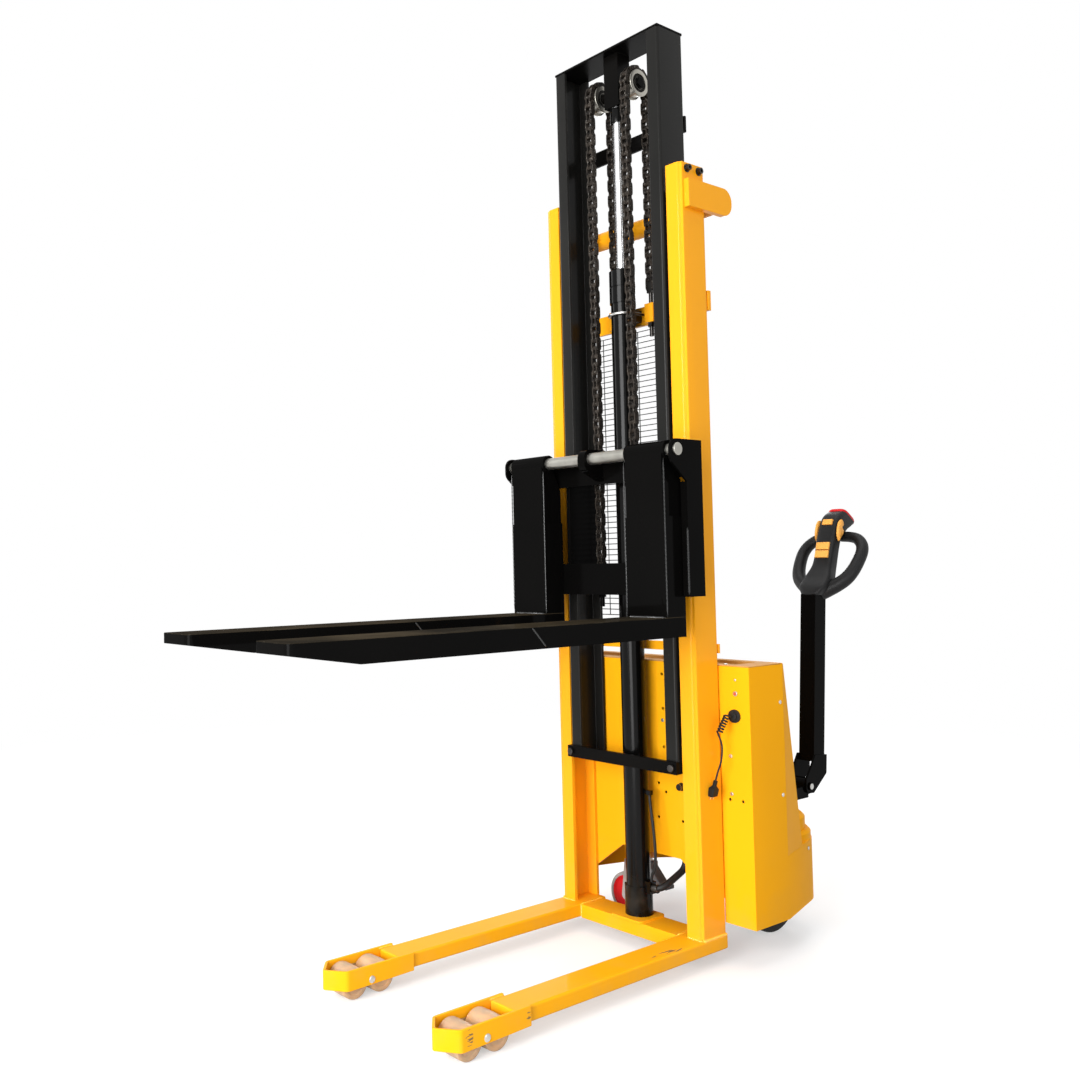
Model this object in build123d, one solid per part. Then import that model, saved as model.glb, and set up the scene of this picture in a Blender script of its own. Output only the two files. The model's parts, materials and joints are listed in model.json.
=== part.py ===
from build123d import *
from math import asin, atan2, ceil, cos, degrees, hypot, pi, sin, sqrt, tan
import os

# Electric straddle stacker with its mast raised part of the way and its forks spread over the legs.
# X runs to the machine's right, Y from the fork tips to the tiller and Z up from the floor.
# Places along Y are counted from the front of the outer mast until the last step centres the machine.

# Fits and sheet that many pieces share
running_fit = 0.05
slide_gap = 0.3
sheet = 3.0

# Straddle legs and the crossbar between them
track = 205.0
leg_width = 100.0
leg_height = 37.0
leg_top = 80.0
leg_wall = 4.0
leg_corner = 6.0
leg_rear = 91.0
crossbar_front = -6.0
crossbar_depth = 90.0
pad_size = 106.0
pad_height = 6.0
pad_corner = 14.0

# Roller boxes at the leg tips
box_front = -824.0
box_length = 212.0
box_wall = 6.5
box_bottom = 18.0
box_rise = 1.0
box_overlap = 6.0
box_corner = 22.0
box_flat = 172.0
box_flat_rise = 9.0
box_rear_rise = 25.0
well_length = 169.0

# Rocking bogies and load rollers
load_roller_diameter = 74.0
load_roller_length = 68.0
load_roller_chamfer = 4.0
load_roller_spacing = 78.0
roller_axle_radius = 10.0
bogie_setback = 87.0
bogie_pin_rise = 11.0
bogie_pin_lead = 9.0
bogie_pin_radius = 10.0
bogie_pin_proud = 0.8
bogie_ear_radius = 15.0
bogie_link = 6.0
bogie_link_height = 26.0
bogie_side_gap = 2.0

# Outer mast columns, ties and wire guard
column_outer = 233.0
column_width = 41.0
column_depth = 100.0
column_web = 8.0
column_flange = 10.0
column_corner = 9.0
mast_top = 2060.0
guide_pad_height = 60.0
guide_pad_inset = 2.0
guide_bolt_radius = 5.0
guide_bolt_drop = 15.0
guide_bolt_margin = 16.0
guide_washer_radius = 11.0
guide_washer = 2.0
guide_head_radius = 8.0
guide_head_height = 9.0
guide_socket_radius = 4.5
guide_socket_depth = 5.0
tie_front = 13.0
tie_rear = 194.0
tie_drop = 119.0
tie_height = 73.0
tie_plate = 15.0
tie_nose = 34.0
tie_tube_radius = 26.0
tie_tube_wall = 4.0
tie_tube_inset = 36.0
beam_drop = 376.0
beam_height = 52.0
beam_depth = 12.0
boss_width = 28.0
boss_reach = 24.0
lower_tie_bottom = 788.0
lower_tie_height = 24.0
lower_tie_depth = 6.0
guard_wire = 2.6
guard_bottom = 878.0
guard_drop = 13.0
guard_row_step = 15.5
guard_column_step = 72.0
guard_overlap = 30.0

# Lift cylinder
lift_y = 45.0
barrel_radius = 32.5
barrel_bore = 27.5
barrel_floor = 12.0
barrel_rise = 58.0
foot_radius = 37.0
foot_height = 70.0
gland_radius = 35.5
gland_height = 93.0
gland_groove = 3.0
rod_radius = 15.0
piston_top = 675.0
piston_height = 45.0
rod_collar_radius = 20.0
rod_collar_height = 40.0
clamp_rise = 26.0
clamp_wire = 4.0
saddle_width = 40.0
saddle_height = 34.0

# Hydraulic hoses and their ports at the cylinder
port_low = 140.0
port_height = 32.0
port_width = 24.0
port_reach = 50.0
bleed_port_z = 408.0
bleed_port_radius = 5.0
bleed_port_reach = 46.0
bleed_elbow = 12.0
thin_hose_radius = 4.0
thin_hose_inset = 5.0
thin_hose_bow = [(46.0, 385.0), (56.0, 317.0), (61.0, 250.0), (58.0, 205.0), (45.0, 187.0)]
thick_hose_radius = 9.0
thick_hose_exit = 24.0
thick_hose_bend = (86.0, 90.0, 182.0)
thick_hose_x = 92.0
thick_hose_rise = 32.0
hose_sides = 10

# Inner mast
inner_outer = 184.0
inner_width = 37.0
inner_front = -8.0
inner_depth = 104.0
inner_web = 8.0
inner_flange = 10.0
inner_corner = 8.0
inner_bottom = 482.0
inner_top = 2443.0
crosshead_plate = 6.0
bracket_width = 50.0
bracket_wall = 6.0
bracket_drop = 153.0
rear_bar_drop = 267.0
rear_bar_height = 44.0
rear_bar_depth = 8.0
bottom_bar_rise = 1.0
bottom_bar_height = 32.0
bottom_bar_depth = 12.0
bottom_bar_overhang = 4.0
bottom_bolt_edge = 10.5
bottom_bolt_radius = 9.0
bottom_bolt_height = 7.0
mast_roller_rise = 48.0
mast_roller_width = 28.0
mast_stub_radius = 12.5

# Lift chains and sheaves
chain_pitch = 22.225
chain_x = 63.0
wrap_links = 6
anchor_room = 40.0
plate_thickness = 3.0
plate_height = 16.0
plate_overhang = 7.0
link_gap = 5.0
link_roller_radius = 6.0
sheave_drop = 107.0
sheave_flange_radius = 40.0
sheave_flange_width = 4.0
sheave_side_gap = 0.5
sheave_axle_radius = 12.5
sheave_hub_radius = 24.0
sheave_recess = 2.0
sheave_axle_tail = 6.0
sheave_washer_radius = 16.5
sheave_washer = 3.0
anchor_rod_radius = 6.0
anchor_tail = 38.0
anchor_nut_radius = 11.0
anchor_nut_height = 12.0
tongue_height = 30.0

# Carriage and fork shaft
face_front = -66.0
face_plate = 16.0
upper_bar_bottom = 1238.0
upper_bar_height = 65.0
lower_bar_bottom = 942.0
lower_bar_height = 84.0
upright_inner = 166.0
upright_width = 47.0
end_plate_inner = 285.0
end_plate = 6.0
end_plate_rear = -17.0
end_flange_width = 14.0
end_plate_front = -78.0
end_plate_bottom = 940.0
end_arm_bottom = 1225.0
roller_plate_inner = 128.0
roller_plate = 12.0
roller_plate_rear = 75.0
roller_plate_bottom = 960.0
roller_plate_height = 310.0
carriage_roller_low = 1005.0
carriage_roller_high = 1225.0
carriage_roller_width = 24.0
carriage_stub_radius = 17.5
shelf_plate = 12.0
shelf_inner = 45.0
shelf_rear = 26.0
shaft_y = -114.0
shaft_z = 1303.0
shaft_radius = 16.0
shaft_overhang = 5.0
shaft_boss = 26.0
boss_corner = 25.0
hanger_width = 24.0
hanger_drop = 32.0

# Forks
fork_width = 125.0
fork_side = 5.0
fork_plate = 8.0
fork_top = 890.0
fork_heel = 841.0
fork_tip = -1220.0
fork_tip_height = 23.0
fork_taper = -1055.0
fork_tip_corner = 16.0
shank_front = -138.0
doubler_top = 1140.0
cheek_top = 1230.0
sleeve_radius = 24.5
sleeve_fit = 0.1

# Covers and chassis frame
cover_half = 326.0
cover_bottom = 101.0
cover_top = 756.0
cover_gap = 2.0
cover_corner = 8.0
flank_start = 245.0
skirt_radius = 130.0
skirt_top = 262.0
hood_crest = 253.0
hood_rear = 364.0
hood_rounding = 9.0
dome_radius = 128.0
dome_shoulder = 290.0
dome_cap_radius = 114.0
dome_top = 328.0
dome_edge = 8.0
dome_hole_gap = 3.0
frame_bottom = 236.0
frame_plate = 10.0
gusset_low = 161.0
gusset_inner = 99.0
gusset_plate = 6.0
panel_lip = 22.0
panel_hole_radius = 4.0
panel_holes = [
    (53.0, 722.0), (54.0, 629.0), (54.0, 525.0), (33.0, 425.0), (57.0, 404.0), (30.0, 333.0), (110.0, 334.0),
]
panel_screw = (53.0, 597.0)
panel_knob = (110.0, 426.0)
panel_knob_radius = 9.0
panel_knob_height = 14.0
lid_pan_margin = 55.0
lid_pan_inset = 24.0
lid_pan_depth = 8.0
wing_hole_edges = (28.0, 66.0)
wing_hole_drop = 339.0
screw_radius = 5.0
screw_head = 2.5
wing_screw_edge = 60.0
wing_screw_drops = (228.0, 324.0)
side_screw_inset = 15.0
side_screw_drops = (97.0, 335.0)
flank_screw_along = 172.0
flank_screw_drop = 17.0
lid_screw_edge = 76.0
lid_screw_inset = 12.0
lamp_radius = 6.5
lamp_height = 4.0
lamp_edge = 40.0
lamp_drop = 68.0
pilot_drop = 33.0

# Pieces inside the covers
battery_clearance = 15.0
battery_depth = 108.0
battery_height = 205.0
battery_gap = 20.0
battery_rear = 238.0
terminal_radius = 8.0
terminal_height = 14.0
unit_clearance = 12.0
pump_y = 175.0
pump_motor_radius = 50.0
pump_motor_height = 175.0
pump_block = 90.0
pump_block_height = 55.0
tank_width = 106.0
tank_depth = 118.0
tank_height = 160.0
controller_width = 110.0
controller_depth = 118.0
controller_height = 62.0
fin_count = 7
fin_width = 6.0
fin_height = 22.0

# Drive unit and tiller
drive_x = 150.0
drive_y = 392.0
drive_wheel_radius = 110.0
drive_wheel_width = 75.0
drive_wheel_edge = 8.0
drive_hub_radius = 76.0
drive_hub_recess = 14.0
drive_axle_radius = 20.0
gearbox_width = 52.0
gearbox_gap = 3.0
gearbox_half_depth = 55.0
gearbox_bottom = 56.0
gearbox_corner = 53.0
slew_radius = 85.0
slew_flange_radius = 102.0
slew_flange = 12.0
slew_rim = 6.0
drive_motor_radius = 58.0
drive_motor_top = 316.0
drive_motor_edge = 8.0
neck_radius = 30.0
tiller_base_bottom = 338.0
tiller_base_top = 372.0
tiller_root_half = 30.0
tiller_root_corner = 24.0
pivot_y = 592.0
pivot_z = 371.0
pivot_pin_radius = 8.0
pivot_lug_radius = 24.0
arm_lean = 4.4
arm_half_width = 24.0
arm_depth = 55.0
arm_offset = 54.0
arm_bottom = 68.0
arm_top = 556.0
arm_wall = 4.0
arm_cheek = 6.0
cheek_margin = 4.0
cheek_overhang = 3.0
cheek_corner = 18.0
pivot_head_radius = 11.0
pivot_head_depth = 4.0

# Tiller head and its controls
neck_half_width = 25.0
head_half_width = 31.0
head_chamfer = 8.0
head_fronts = [(18.0, 57.0), (46.0, 97.0), (70.0, 169.0), (107.0, 246.0)]
head_rears = [(61.0, 36.0), (93.0, 79.0), (128.0, 157.0), (221.0, 212.0)]
head_widths = [28.0, 29.0, 31.0, 31.0]
loop_tube_radius = 15.0
loop_half_width = 92.0
loop_lean = 36.9
loop_route = [(8.0, 10.0), (62.0, 38.0), (92.0, 88.0), (92.0, 165.0), (70.0, 203.0), (8.0, 207.0)]
loop_bends = [30.0, 30.0, 24.0, 24.0]
thumb_share = 0.62
raise_share = 0.66
lower_share = 0.32
paddle_place = (98.0, 192.0)
button_gap = 0.3
belly_travel = 4.0
belly_depth = 110.0
belly_width = 58.0
belly_crown = 9.0
belly_plug = 7.0
key_travel = 2.0
key_height = 5.0
key_plug = 5.0
thumb_width = 32.0
thumb_length = 18.0
lift_key_width = 42.0
lift_key_length = 23.0
paddle_length = 66.0
paddle_width = 26.0
paddle_thickness = 6.0
paddle_gap = 0.5
paddle_shaft_radius = 5.0

# Stabiliser caster on the left
caster_share = 0.4
caster_y = 208.0
caster_trail = 35.0
caster_wheel_radius = 62.5
caster_wheel_width = 40.0
caster_wheel_edge = 5.0
caster_axle_radius = 8.0
caster_boss_radius = 38.0
caster_boss_bottom = 176.0
caster_plate = 10.0
caster_plate_radius = 36.0
kingpin_radius = 10.0
kingpin_length = 24.0
caster_cheek = 5.0
caster_side_gap = 1.0
caster_foot = 16.0
pedal_pin_lead = 32.0
pedal_pin_z = 152.0
pedal_pin_radius = 6.0
pedal_reach = 106.0
pedal_tip_z = 108.0
pedal_side_gap = 2.0

# Charging cord: an exit straight out of the grommet, the curls, then a limp tail down to the plug
grommet_edge = 44.0
grommet_z = 631.0
grommet_radius = 17.0
grommet_rim = 6.0
grommet_nose_radius = 11.0
grommet_nose = 7.0
grommet_bore = 12.0
cord_radius = 2.4
cord_sides = 6
curl_radius = 6.2
curl_pitch = 7.4
curl_turns = 6.5
curl_lead = (0.0, -8.0, 2.0)
curl_aim = (-4.0, -25.0, -38.0)
tail_steps = [
    (-11.0, -43.0, -64.0), (-10.0, -43.0, -85.0), (-14.0, -44.0, -115.0), (-24.0, -47.0, -141.0), (-29.0, -48.0, -161.0),
]
plug_half_width = 12.0
plug_half_depth = 8.0
plug_neck = 4.5
plug_length = 42.0
prong_radius = 2.0
prong_length = 8.0
prong_spread = 6.0

# Places that several pieces take from the sizes above
leg_front = box_front + well_length
box_rear = box_front + box_length
box_top = leg_top + box_rise
box_half = leg_width / 2 + box_overlap
load_roller_z = load_roller_diameter / 2
bogie_y = box_front + bogie_setback
bogie_pin_y = bogie_y - bogie_pin_lead
bogie_pin_z = load_roller_z + bogie_pin_rise
link_half = load_roller_length / 2 + bogie_side_gap
pad_top = leg_top + pad_height
tie_bottom = mast_top - tie_drop
beam_bottom = mast_top - beam_drop
beam_top = beam_bottom + beam_height
guard_top = beam_bottom - guard_drop
barrel_top = beam_bottom + barrel_rise
clamp_z = beam_bottom + clamp_rise
bracket_bottom = inner_top - bracket_drop
rear_bar_bottom = inner_top - rear_bar_drop
rod_top = bracket_bottom
inner_middle_y = inner_front + inner_depth / 2
inner_rear = inner_front + inner_depth
channel_top = inner_top - crosshead_plate
mast_roller_z = inner_bottom + mast_roller_rise
mast_roller_radius = column_depth / 2 - column_flange - slide_gap
carriage_roller_radius = inner_depth / 2 - inner_flange - slide_gap
sheave_reach = chain_pitch / (2 * sin(pi / 2 / wrap_links))
sheave_seat = sheave_reach * cos(pi / 2 / wrap_links) - plate_height / 2 - slide_gap
chain_half = link_gap + 2 * plate_thickness
sheave_z = inner_top - sheave_drop
shelf_bottom = lower_bar_bottom + sheet
shelf_top = shelf_bottom + shelf_plate
front_links = int((sheave_z - shelf_top - anchor_room) / chain_pitch)
back_room = int((sheave_z - beam_top - anchor_room) / chain_pitch)
back_links = back_room - (front_links + wrap_links + back_room + 1) % 2
front_end_z = sheave_z - front_links * chain_pitch
back_end_z = sheave_z - back_links * chain_pitch
face_rear = face_front + face_plate
fork_rear = face_front - slide_gap
shaft_end = end_plate_inner + end_plate + shaft_overhang
cover_front = column_depth
cover_rear = drive_y + skirt_radius
grommet_x = cover_half - grommet_edge
tail_points = [(grommet_x + x, cover_front + y, grommet_z + z) for x, y, z in tail_steps]
frame_top = frame_bottom + frame_plate
frame_inset = sheet + slide_gap
panel_bottom = frame_bottom - sheet
pump_x = cover_half - sheet - unit_clearance - tank_width / 2
controller_x = sheet + unit_clearance + controller_width / 2 - cover_half
battery_width = pump_x - tank_width / 2 - battery_clearance - battery_gap / 2
tiller_half = arm_half_width - slide_gap
caster_x = -caster_share * cover_half
caster_wheel_x = caster_x - caster_trail
pedal_pin_x = caster_x + pedal_pin_lead
pedal_tip_x = caster_x + pedal_reach


def block(x, y, z):
    """Rectangular solid between two limits on each axis."""
    spans = [sorted(limits) for limits in (x, y, z)]
    size = [high - low for low, high in spans]
    middle = [(high + low) / 2 for low, high in spans]
    return Pos(*middle) * Box(*size)


def outline(points):
    """Closed flat outline; a third number on a point rounds that corner."""
    face = make_face(Polyline(*[point[:2] for point in points], close=True))
    for point in points:
        if len(point) > 2:
            corner = face.vertices().sort_by_distance((point[0], point[1], 0))[0]
            face = fillet(corner, point[2])
    return face


def bar(face, axis, start, end):
    """Prism of a flat outline between two places on one axis."""
    low, high = sorted((start, end))
    if axis == "x":
        return extrude(Plane.YZ.offset(low) * face, amount=high - low)
    if axis == "y":
        return extrude(Plane.XZ.offset(-low) * face, amount=low - high)
    return extrude(Plane.XY.offset(low) * face, amount=high - low)


def round_bar(axis, centre, radius, start, end):
    """Cylinder along one axis; the centre holds the two other coordinates in order."""
    return bar(Pos(*centre) * Circle(radius), axis, start, end)


def hex_bar(axis, centre, radius, start, end):
    """Hexagonal prism along one axis, for nuts and bolt heads."""
    return bar(Pos(*centre) * RegularPolygon(radius, 6), axis, start, end)


def turned_x(points, place):
    """Solid of revolution about X; each point is a place along X, a radius and a rounding."""
    return Pos(*place) * revolve(outline(points), axis=Axis.X)


def turned_z(points, x, y):
    """Solid of revolution about a vertical axis; each point is a radius, a height and a rounding."""
    return Pos(x, y, 0) * revolve(Plane.XZ * outline(points), axis=Axis.Z)


def other_side(piece):
    """The same piece on the machine's left."""
    return mirror(piece, about=Plane.YZ)


def group(*pieces):
    """Several separate solids kept together as one named piece."""
    return Compound([solid for piece in pieces for solid in piece.solids()])


def channel(outer, width, front, depth, web, flange, corner, low, high):
    """Upright C section, open towards the machine's middle, with rolled outer corners."""
    lip = outer - width
    rear = front + depth
    section = [
        (lip, front), (outer, front, corner), (outer, rear, corner), (lip, rear),
        (lip, rear - flange), (outer - web, rear - flange), (outer - web, front + flange), (lip, front + flange),
    ]
    return bar(outline(section), "z", low, high)


def hose(points, radius):
    """Tube along straight runs joined by arcs that are as large as the runs allow."""
    path = FilletPolyline(*points, radius=bend_radii(points))
    start = Plane(points[0], z_dir=path % 0)
    return sweep(start * RegularPolygon(radius, hose_sides), path=path)


def bend_radii(points):
    """Largest arc at each corner of a route that leaves a tenth of the shorter run straight."""
    places = [Vector(*point) for point in points]
    radii = []
    for before, corner, after in zip(places, places[1:], places[2:]):
        turn = (corner - before).get_angle(after - corner)
        shorter = min((corner - before).length, (after - corner).length)
        radii.append(0.45 * shorter / tan(turn * pi / 360))
    return radii


def make_leg():
    """Capped box tube with the bent-plate roller box welded round its tip."""
    middle = leg_top - leg_height / 2
    skin = Pos(track, middle) * RectangleRounded(leg_width, leg_height, leg_corner)
    hollow = Pos(track, middle) * Rectangle(leg_width - 2 * leg_wall, leg_height - 2 * leg_wall)
    tube = bar(skin, "y", leg_front, leg_rear) - bar(hollow, "y", leg_front + leg_wall, leg_rear)
    wall_in = box_half - box_wall
    bend_in = max(box_corner - box_wall, 1.0)
    plate = outline([
        (track - box_half, box_rear), (track - box_half, box_front, box_corner),
        (track + box_half, box_front, box_corner), (track + box_half, box_rear),
    ])
    well = outline([
        (track - wall_in, box_rear), (track - wall_in, box_front + box_wall, bend_in),
        (track + wall_in, box_front + box_wall, bend_in), (track + wall_in, box_rear),
    ])
    box = bar(plate - well, "z", box_bottom, box_top)
    rise = outline([
        (box_front, box_bottom), (box_rear, box_bottom), (box_rear, box_bottom + box_rear_rise),
        (box_front + box_flat, box_bottom + box_flat_rise),
    ])
    box -= bar(rise, "x", track - box_half, track + box_half)
    pin_radius = bogie_pin_radius + running_fit
    box -= round_bar("x", (bogie_pin_y, bogie_pin_z), pin_radius, track - box_half, track + box_half)
    return tube + box


def make_bogie():
    """Two side links, the two roller axles between them and a pivot stub through each box side."""
    pin = (bogie_pin_y, bogie_pin_z)
    link = Pos(bogie_y, load_roller_z) * SlotCenterToCenter(load_roller_spacing, bogie_link_height)
    link += Pos(*pin) * Circle(bogie_ear_radius)
    bogie = None
    for side in (-1, 1):
        inner = track + side * link_half
        outer = inner + side * bogie_link
        end = track + side * (box_half + bogie_pin_proud)
        half = bar(link, "x", inner, outer) + round_bar("x", pin, bogie_pin_radius, inner, end)
        bogie = half if bogie is None else bogie + half
    for end in (-1, 1):
        place = (bogie_y + end * load_roller_spacing / 2, load_roller_z)
        bogie += round_bar("x", place, roller_axle_radius, track - link_half, track + link_half)
    return bogie


def wheel_section(half, radius, edge):
    """Tread of a wheel turned about X, from one face to the other, with bevelled edges."""
    return [(-half, radius - edge), (edge - half, radius), (half - edge, radius), (half, radius - edge)]


def make_load_roller(end):
    """Cast roller with bevelled tread edges, bored for its axle; end is -1 in front and 1 behind."""
    half = load_roller_length / 2
    bore = roller_axle_radius + running_fit
    section = wheel_section(half, load_roller_z, load_roller_chamfer) + [(half, bore), (-half, bore)]
    return turned_x(section, (track, bogie_y + end * load_roller_spacing / 2, load_roller_z))


def make_crossbar():
    """Open-ended box tube between the legs with the round-cornered cylinder pad on top."""
    reach = track - leg_width / 2
    rear = crossbar_front + crossbar_depth
    low = leg_top - leg_height
    tube = block((-reach, reach), (crossbar_front, rear), (low, leg_top))
    tube -= block(
        (-reach, reach), (crossbar_front + leg_wall, rear - leg_wall), (low + leg_wall, leg_top - leg_wall))
    pad = Pos(0, crossbar_front + crossbar_depth / 2) * RectangleRounded(pad_size, pad_size, pad_corner)
    return tube + bar(pad, "z", leg_top, pad_top)


def guide_bolt_places():
    """The two bolts of a guide pad, as places along Y and Z."""
    height = mast_top - guide_bolt_drop
    inset = column_flange + guide_bolt_margin
    return [(inset, height), (column_depth - inset, height)]


def make_column():
    """Outer mast column, drilled for the guide pad's bolts."""
    column = channel(
        column_outer, column_width, 0.0, column_depth, column_web, column_flange, column_corner, leg_top, mast_top)
    for place in guide_bolt_places():
        hole = guide_bolt_radius + running_fit
        column -= round_bar("x", place, hole, column_outer - column_web, column_outer)
    return column


def make_guide_pad():
    """Plastic block in the column's top that guides the inner mast's web."""
    top = mast_top - guide_pad_inset
    pad = block(
        (inner_outer + slide_gap, column_outer - column_web), (column_flange, column_depth - column_flange),
        (top - guide_pad_height, top))
    for place in guide_bolt_places():
        hole = guide_bolt_radius + running_fit
        pad -= round_bar("x", place, hole, column_outer - column_width, column_outer - column_web)
    return pad


def make_crossmembers():
    """Top tie tube with its two nose brackets, the chain anchor beam with its bosses, and the lower tie."""
    tie_top = tie_bottom + tie_height
    nose = outline([
        (tie_front, tie_bottom), (tie_rear, tie_bottom, tie_nose),
        (tie_rear, tie_top, tie_nose), (tie_front, tie_top),
    ])
    bracket = bar(nose, "x", column_outer, column_outer + tie_plate)
    ring = Circle(tie_tube_radius) - Circle(tie_tube_radius - tie_tube_wall)
    tube_place = Pos(tie_rear - tie_tube_inset, tie_bottom + tie_height / 2)
    tube = bar(tube_place * ring, "x", -column_outer, column_outer)
    beam_rear = column_depth + beam_depth
    beam = block((-column_outer, column_outer), (column_depth, beam_rear), (beam_bottom, beam_top))
    anchor_y = lift_y + sheave_reach
    for side in (-1, 1):
        middle = side * chain_x
        beam += block(
            (middle - boss_width / 2, middle + boss_width / 2), (column_depth - boss_reach, beam_rear),
            (beam_bottom, beam_top))
        beam -= round_bar("z", (middle, anchor_y), anchor_rod_radius + running_fit, beam_bottom, beam_top)
    lower = block(
        (-column_outer, column_outer), (column_depth, column_depth + lower_tie_depth),
        (lower_tie_bottom, lower_tie_bottom + lower_tie_height))
    return group(bracket, other_side(bracket), tube, beam, lower)


def make_guard():
    """Welded wire guard: level wires against the columns, upright wires behind them."""
    half = column_outer - column_width + guard_overlap
    front = column_depth
    middle = front + guard_wire
    rows = round((guard_top - guard_bottom) / guard_row_step)
    columns = int(2 * half / guard_column_step)
    wires = []
    for row in range(rows + 1):
        low = guard_bottom + row * (guard_top - guard_bottom - guard_wire) / rows
        wires.append(block((-half, half), (front, middle), (low, low + guard_wire)))
    for column in range(columns + 1):
        left = (column - columns / 2) * guard_column_step - guard_wire / 2
        wires.append(block((left, left + guard_wire), (middle, middle + guard_wire), (guard_bottom, guard_top)))
    return group(*wires)


def make_mast_fasteners():
    """Guide pad bolts, chain anchors with their nuts, and the cylinder clamp with its saddle."""
    pieces = []
    for place in guide_bolt_places():
        seat = column_outer
        bolt = round_bar("x", place, guide_bolt_radius, seat - 2 * column_web, seat)
        head = seat + guide_washer
        end = head + guide_head_height
        bolt += round_bar("x", place, guide_washer_radius, seat, head)
        bolt += round_bar("x", place, guide_head_radius, head, end)
        bolt -= hex_bar("x", place, guide_socket_radius, end - guide_socket_depth, end)
        pieces += [bolt, other_side(bolt)]
    anchor = make_anchor(back_end_z, beam_bottom, lift_y + sheave_reach)
    pieces += [anchor, other_side(anchor)]
    bend = barrel_radius + slide_gap + clamp_wire
    route = Polyline((-bend, column_depth, clamp_z), (-bend, lift_y, clamp_z))
    route += ThreePointArc((-bend, lift_y, clamp_z), (0, lift_y - bend, clamp_z), (bend, lift_y, clamp_z))
    route += Polyline((bend, lift_y, clamp_z), (bend, column_depth, clamp_z))
    start = Plane((-bend, column_depth, clamp_z), z_dir=(0, -1, 0))
    pieces.append(sweep(start * RegularPolygon(clamp_wire, hose_sides), path=route))
    saddle = block(
        (-saddle_width / 2, saddle_width / 2), (lift_y, column_depth),
        (clamp_z - saddle_height / 2, clamp_z + saddle_height / 2))
    saddle -= round_bar("z", (0, lift_y), bend - clamp_wire, clamp_z - saddle_height, clamp_z + saddle_height)
    saddle -= block((-saddle_width, saddle_width), (0, lift_y + barrel_radius / 2), (beam_bottom, beam_top))
    pieces.append(saddle)
    return group(*pieces)


def make_anchor(chain_end, seat, y):
    """Threaded rod whose tongue sits between the chain's last plates, with a nut under its seat."""
    tongue_half = link_gap + plate_thickness
    x = chain_x
    top = chain_end + chain_pitch - plate_overhang - 2 * slide_gap
    tongue = block(
        (x - tongue_half, x + tongue_half), (y - plate_height / 2, y + plate_height / 2),
        (top - tongue_height, top))
    rod = round_bar("z", (x, y), anchor_rod_radius, seat - anchor_tail, top - tongue_height)
    nut = hex_bar("z", (x, y), anchor_nut_radius, seat - anchor_nut_height, seat)
    return tongue + rod + nut


def make_lift_cylinder():
    """Bored barrel with its foot and ports, and the grooved gland that closes it round the rod."""
    barrel = round_bar("z", (0, lift_y), barrel_radius, pad_top, barrel_top)
    barrel += round_bar("z", (0, lift_y), foot_radius, pad_top, pad_top + foot_height)
    barrel += block(
        (0, port_reach), (lift_y - port_width / 2, lift_y + port_width / 2),
        (port_low, port_low + port_height))
    barrel += round_bar("x", (lift_y, bleed_port_z), bleed_port_radius, 0, bleed_port_reach)
    barrel += Pos(bleed_port_reach, lift_y, bleed_port_z) * Box(bleed_elbow, bleed_elbow, bleed_elbow)
    barrel -= round_bar("z", (0, lift_y), barrel_bore, pad_top + barrel_floor, barrel_top)
    gland_top = barrel_top + gland_height
    groove_z = barrel_top + gland_height / 2
    bore = rod_radius + running_fit
    gland = turned_z([
        (bore, barrel_top), (gland_radius, barrel_top), (gland_radius, groove_z - gland_groove),
        (gland_radius - gland_groove, groove_z - gland_groove), (gland_radius - gland_groove, groove_z),
        (gland_radius, groove_z), (gland_radius, gland_top - gland_groove),
        (gland_radius - gland_groove, gland_top), (bore, gland_top),
    ], 0, lift_y)
    return group(barrel, gland)


def make_hoses():
    """Thin bleed hose bowing beside the barrel, and the thick pressure hose up into the chassis."""
    thin = [(bleed_port_reach, lift_y, bleed_port_z - bleed_elbow / 2)]
    thin += [(x, lift_y, z) for x, z in thin_hose_bow]
    thin.append((port_reach - thin_hose_inset, lift_y, port_low + port_height))
    port_z = port_low + port_height / 2
    entry = cover_front + panel_lip + thick_hose_radius + cover_gap
    thick = [
        (port_reach, lift_y, port_z), (port_reach + thick_hose_exit, lift_y, port_z), thick_hose_bend,
        (thick_hose_x, entry, frame_bottom - thick_hose_rise), (thick_hose_x, entry, frame_bottom),
    ]
    return group(hose(thin, thin_hose_radius), hose(thick, thick_hose_radius))


def make_inner_channel():
    """Inner mast channel with the stub that carries its lower roller."""
    upright = channel(
        inner_outer, inner_width, inner_front, inner_depth, inner_web, inner_flange, inner_corner,
        inner_bottom, channel_top)
    roller_end = column_outer - column_web - slide_gap
    place = (column_depth / 2, mast_roller_z)
    return upright + round_bar("x", place, mast_stub_radius, inner_outer - inner_web, roller_end - slide_gap)


def make_mast_rollers():
    """The pair of lower mast rollers, one in each outer column, which turn alike."""
    outer = column_outer - column_web - slide_gap
    ring = Circle(mast_roller_radius) - Circle(mast_stub_radius + running_fit)
    roller = bar(Pos(column_depth / 2, mast_roller_z) * ring, "x", outer - mast_roller_width, outer)
    return group(roller, other_side(roller))


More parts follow.
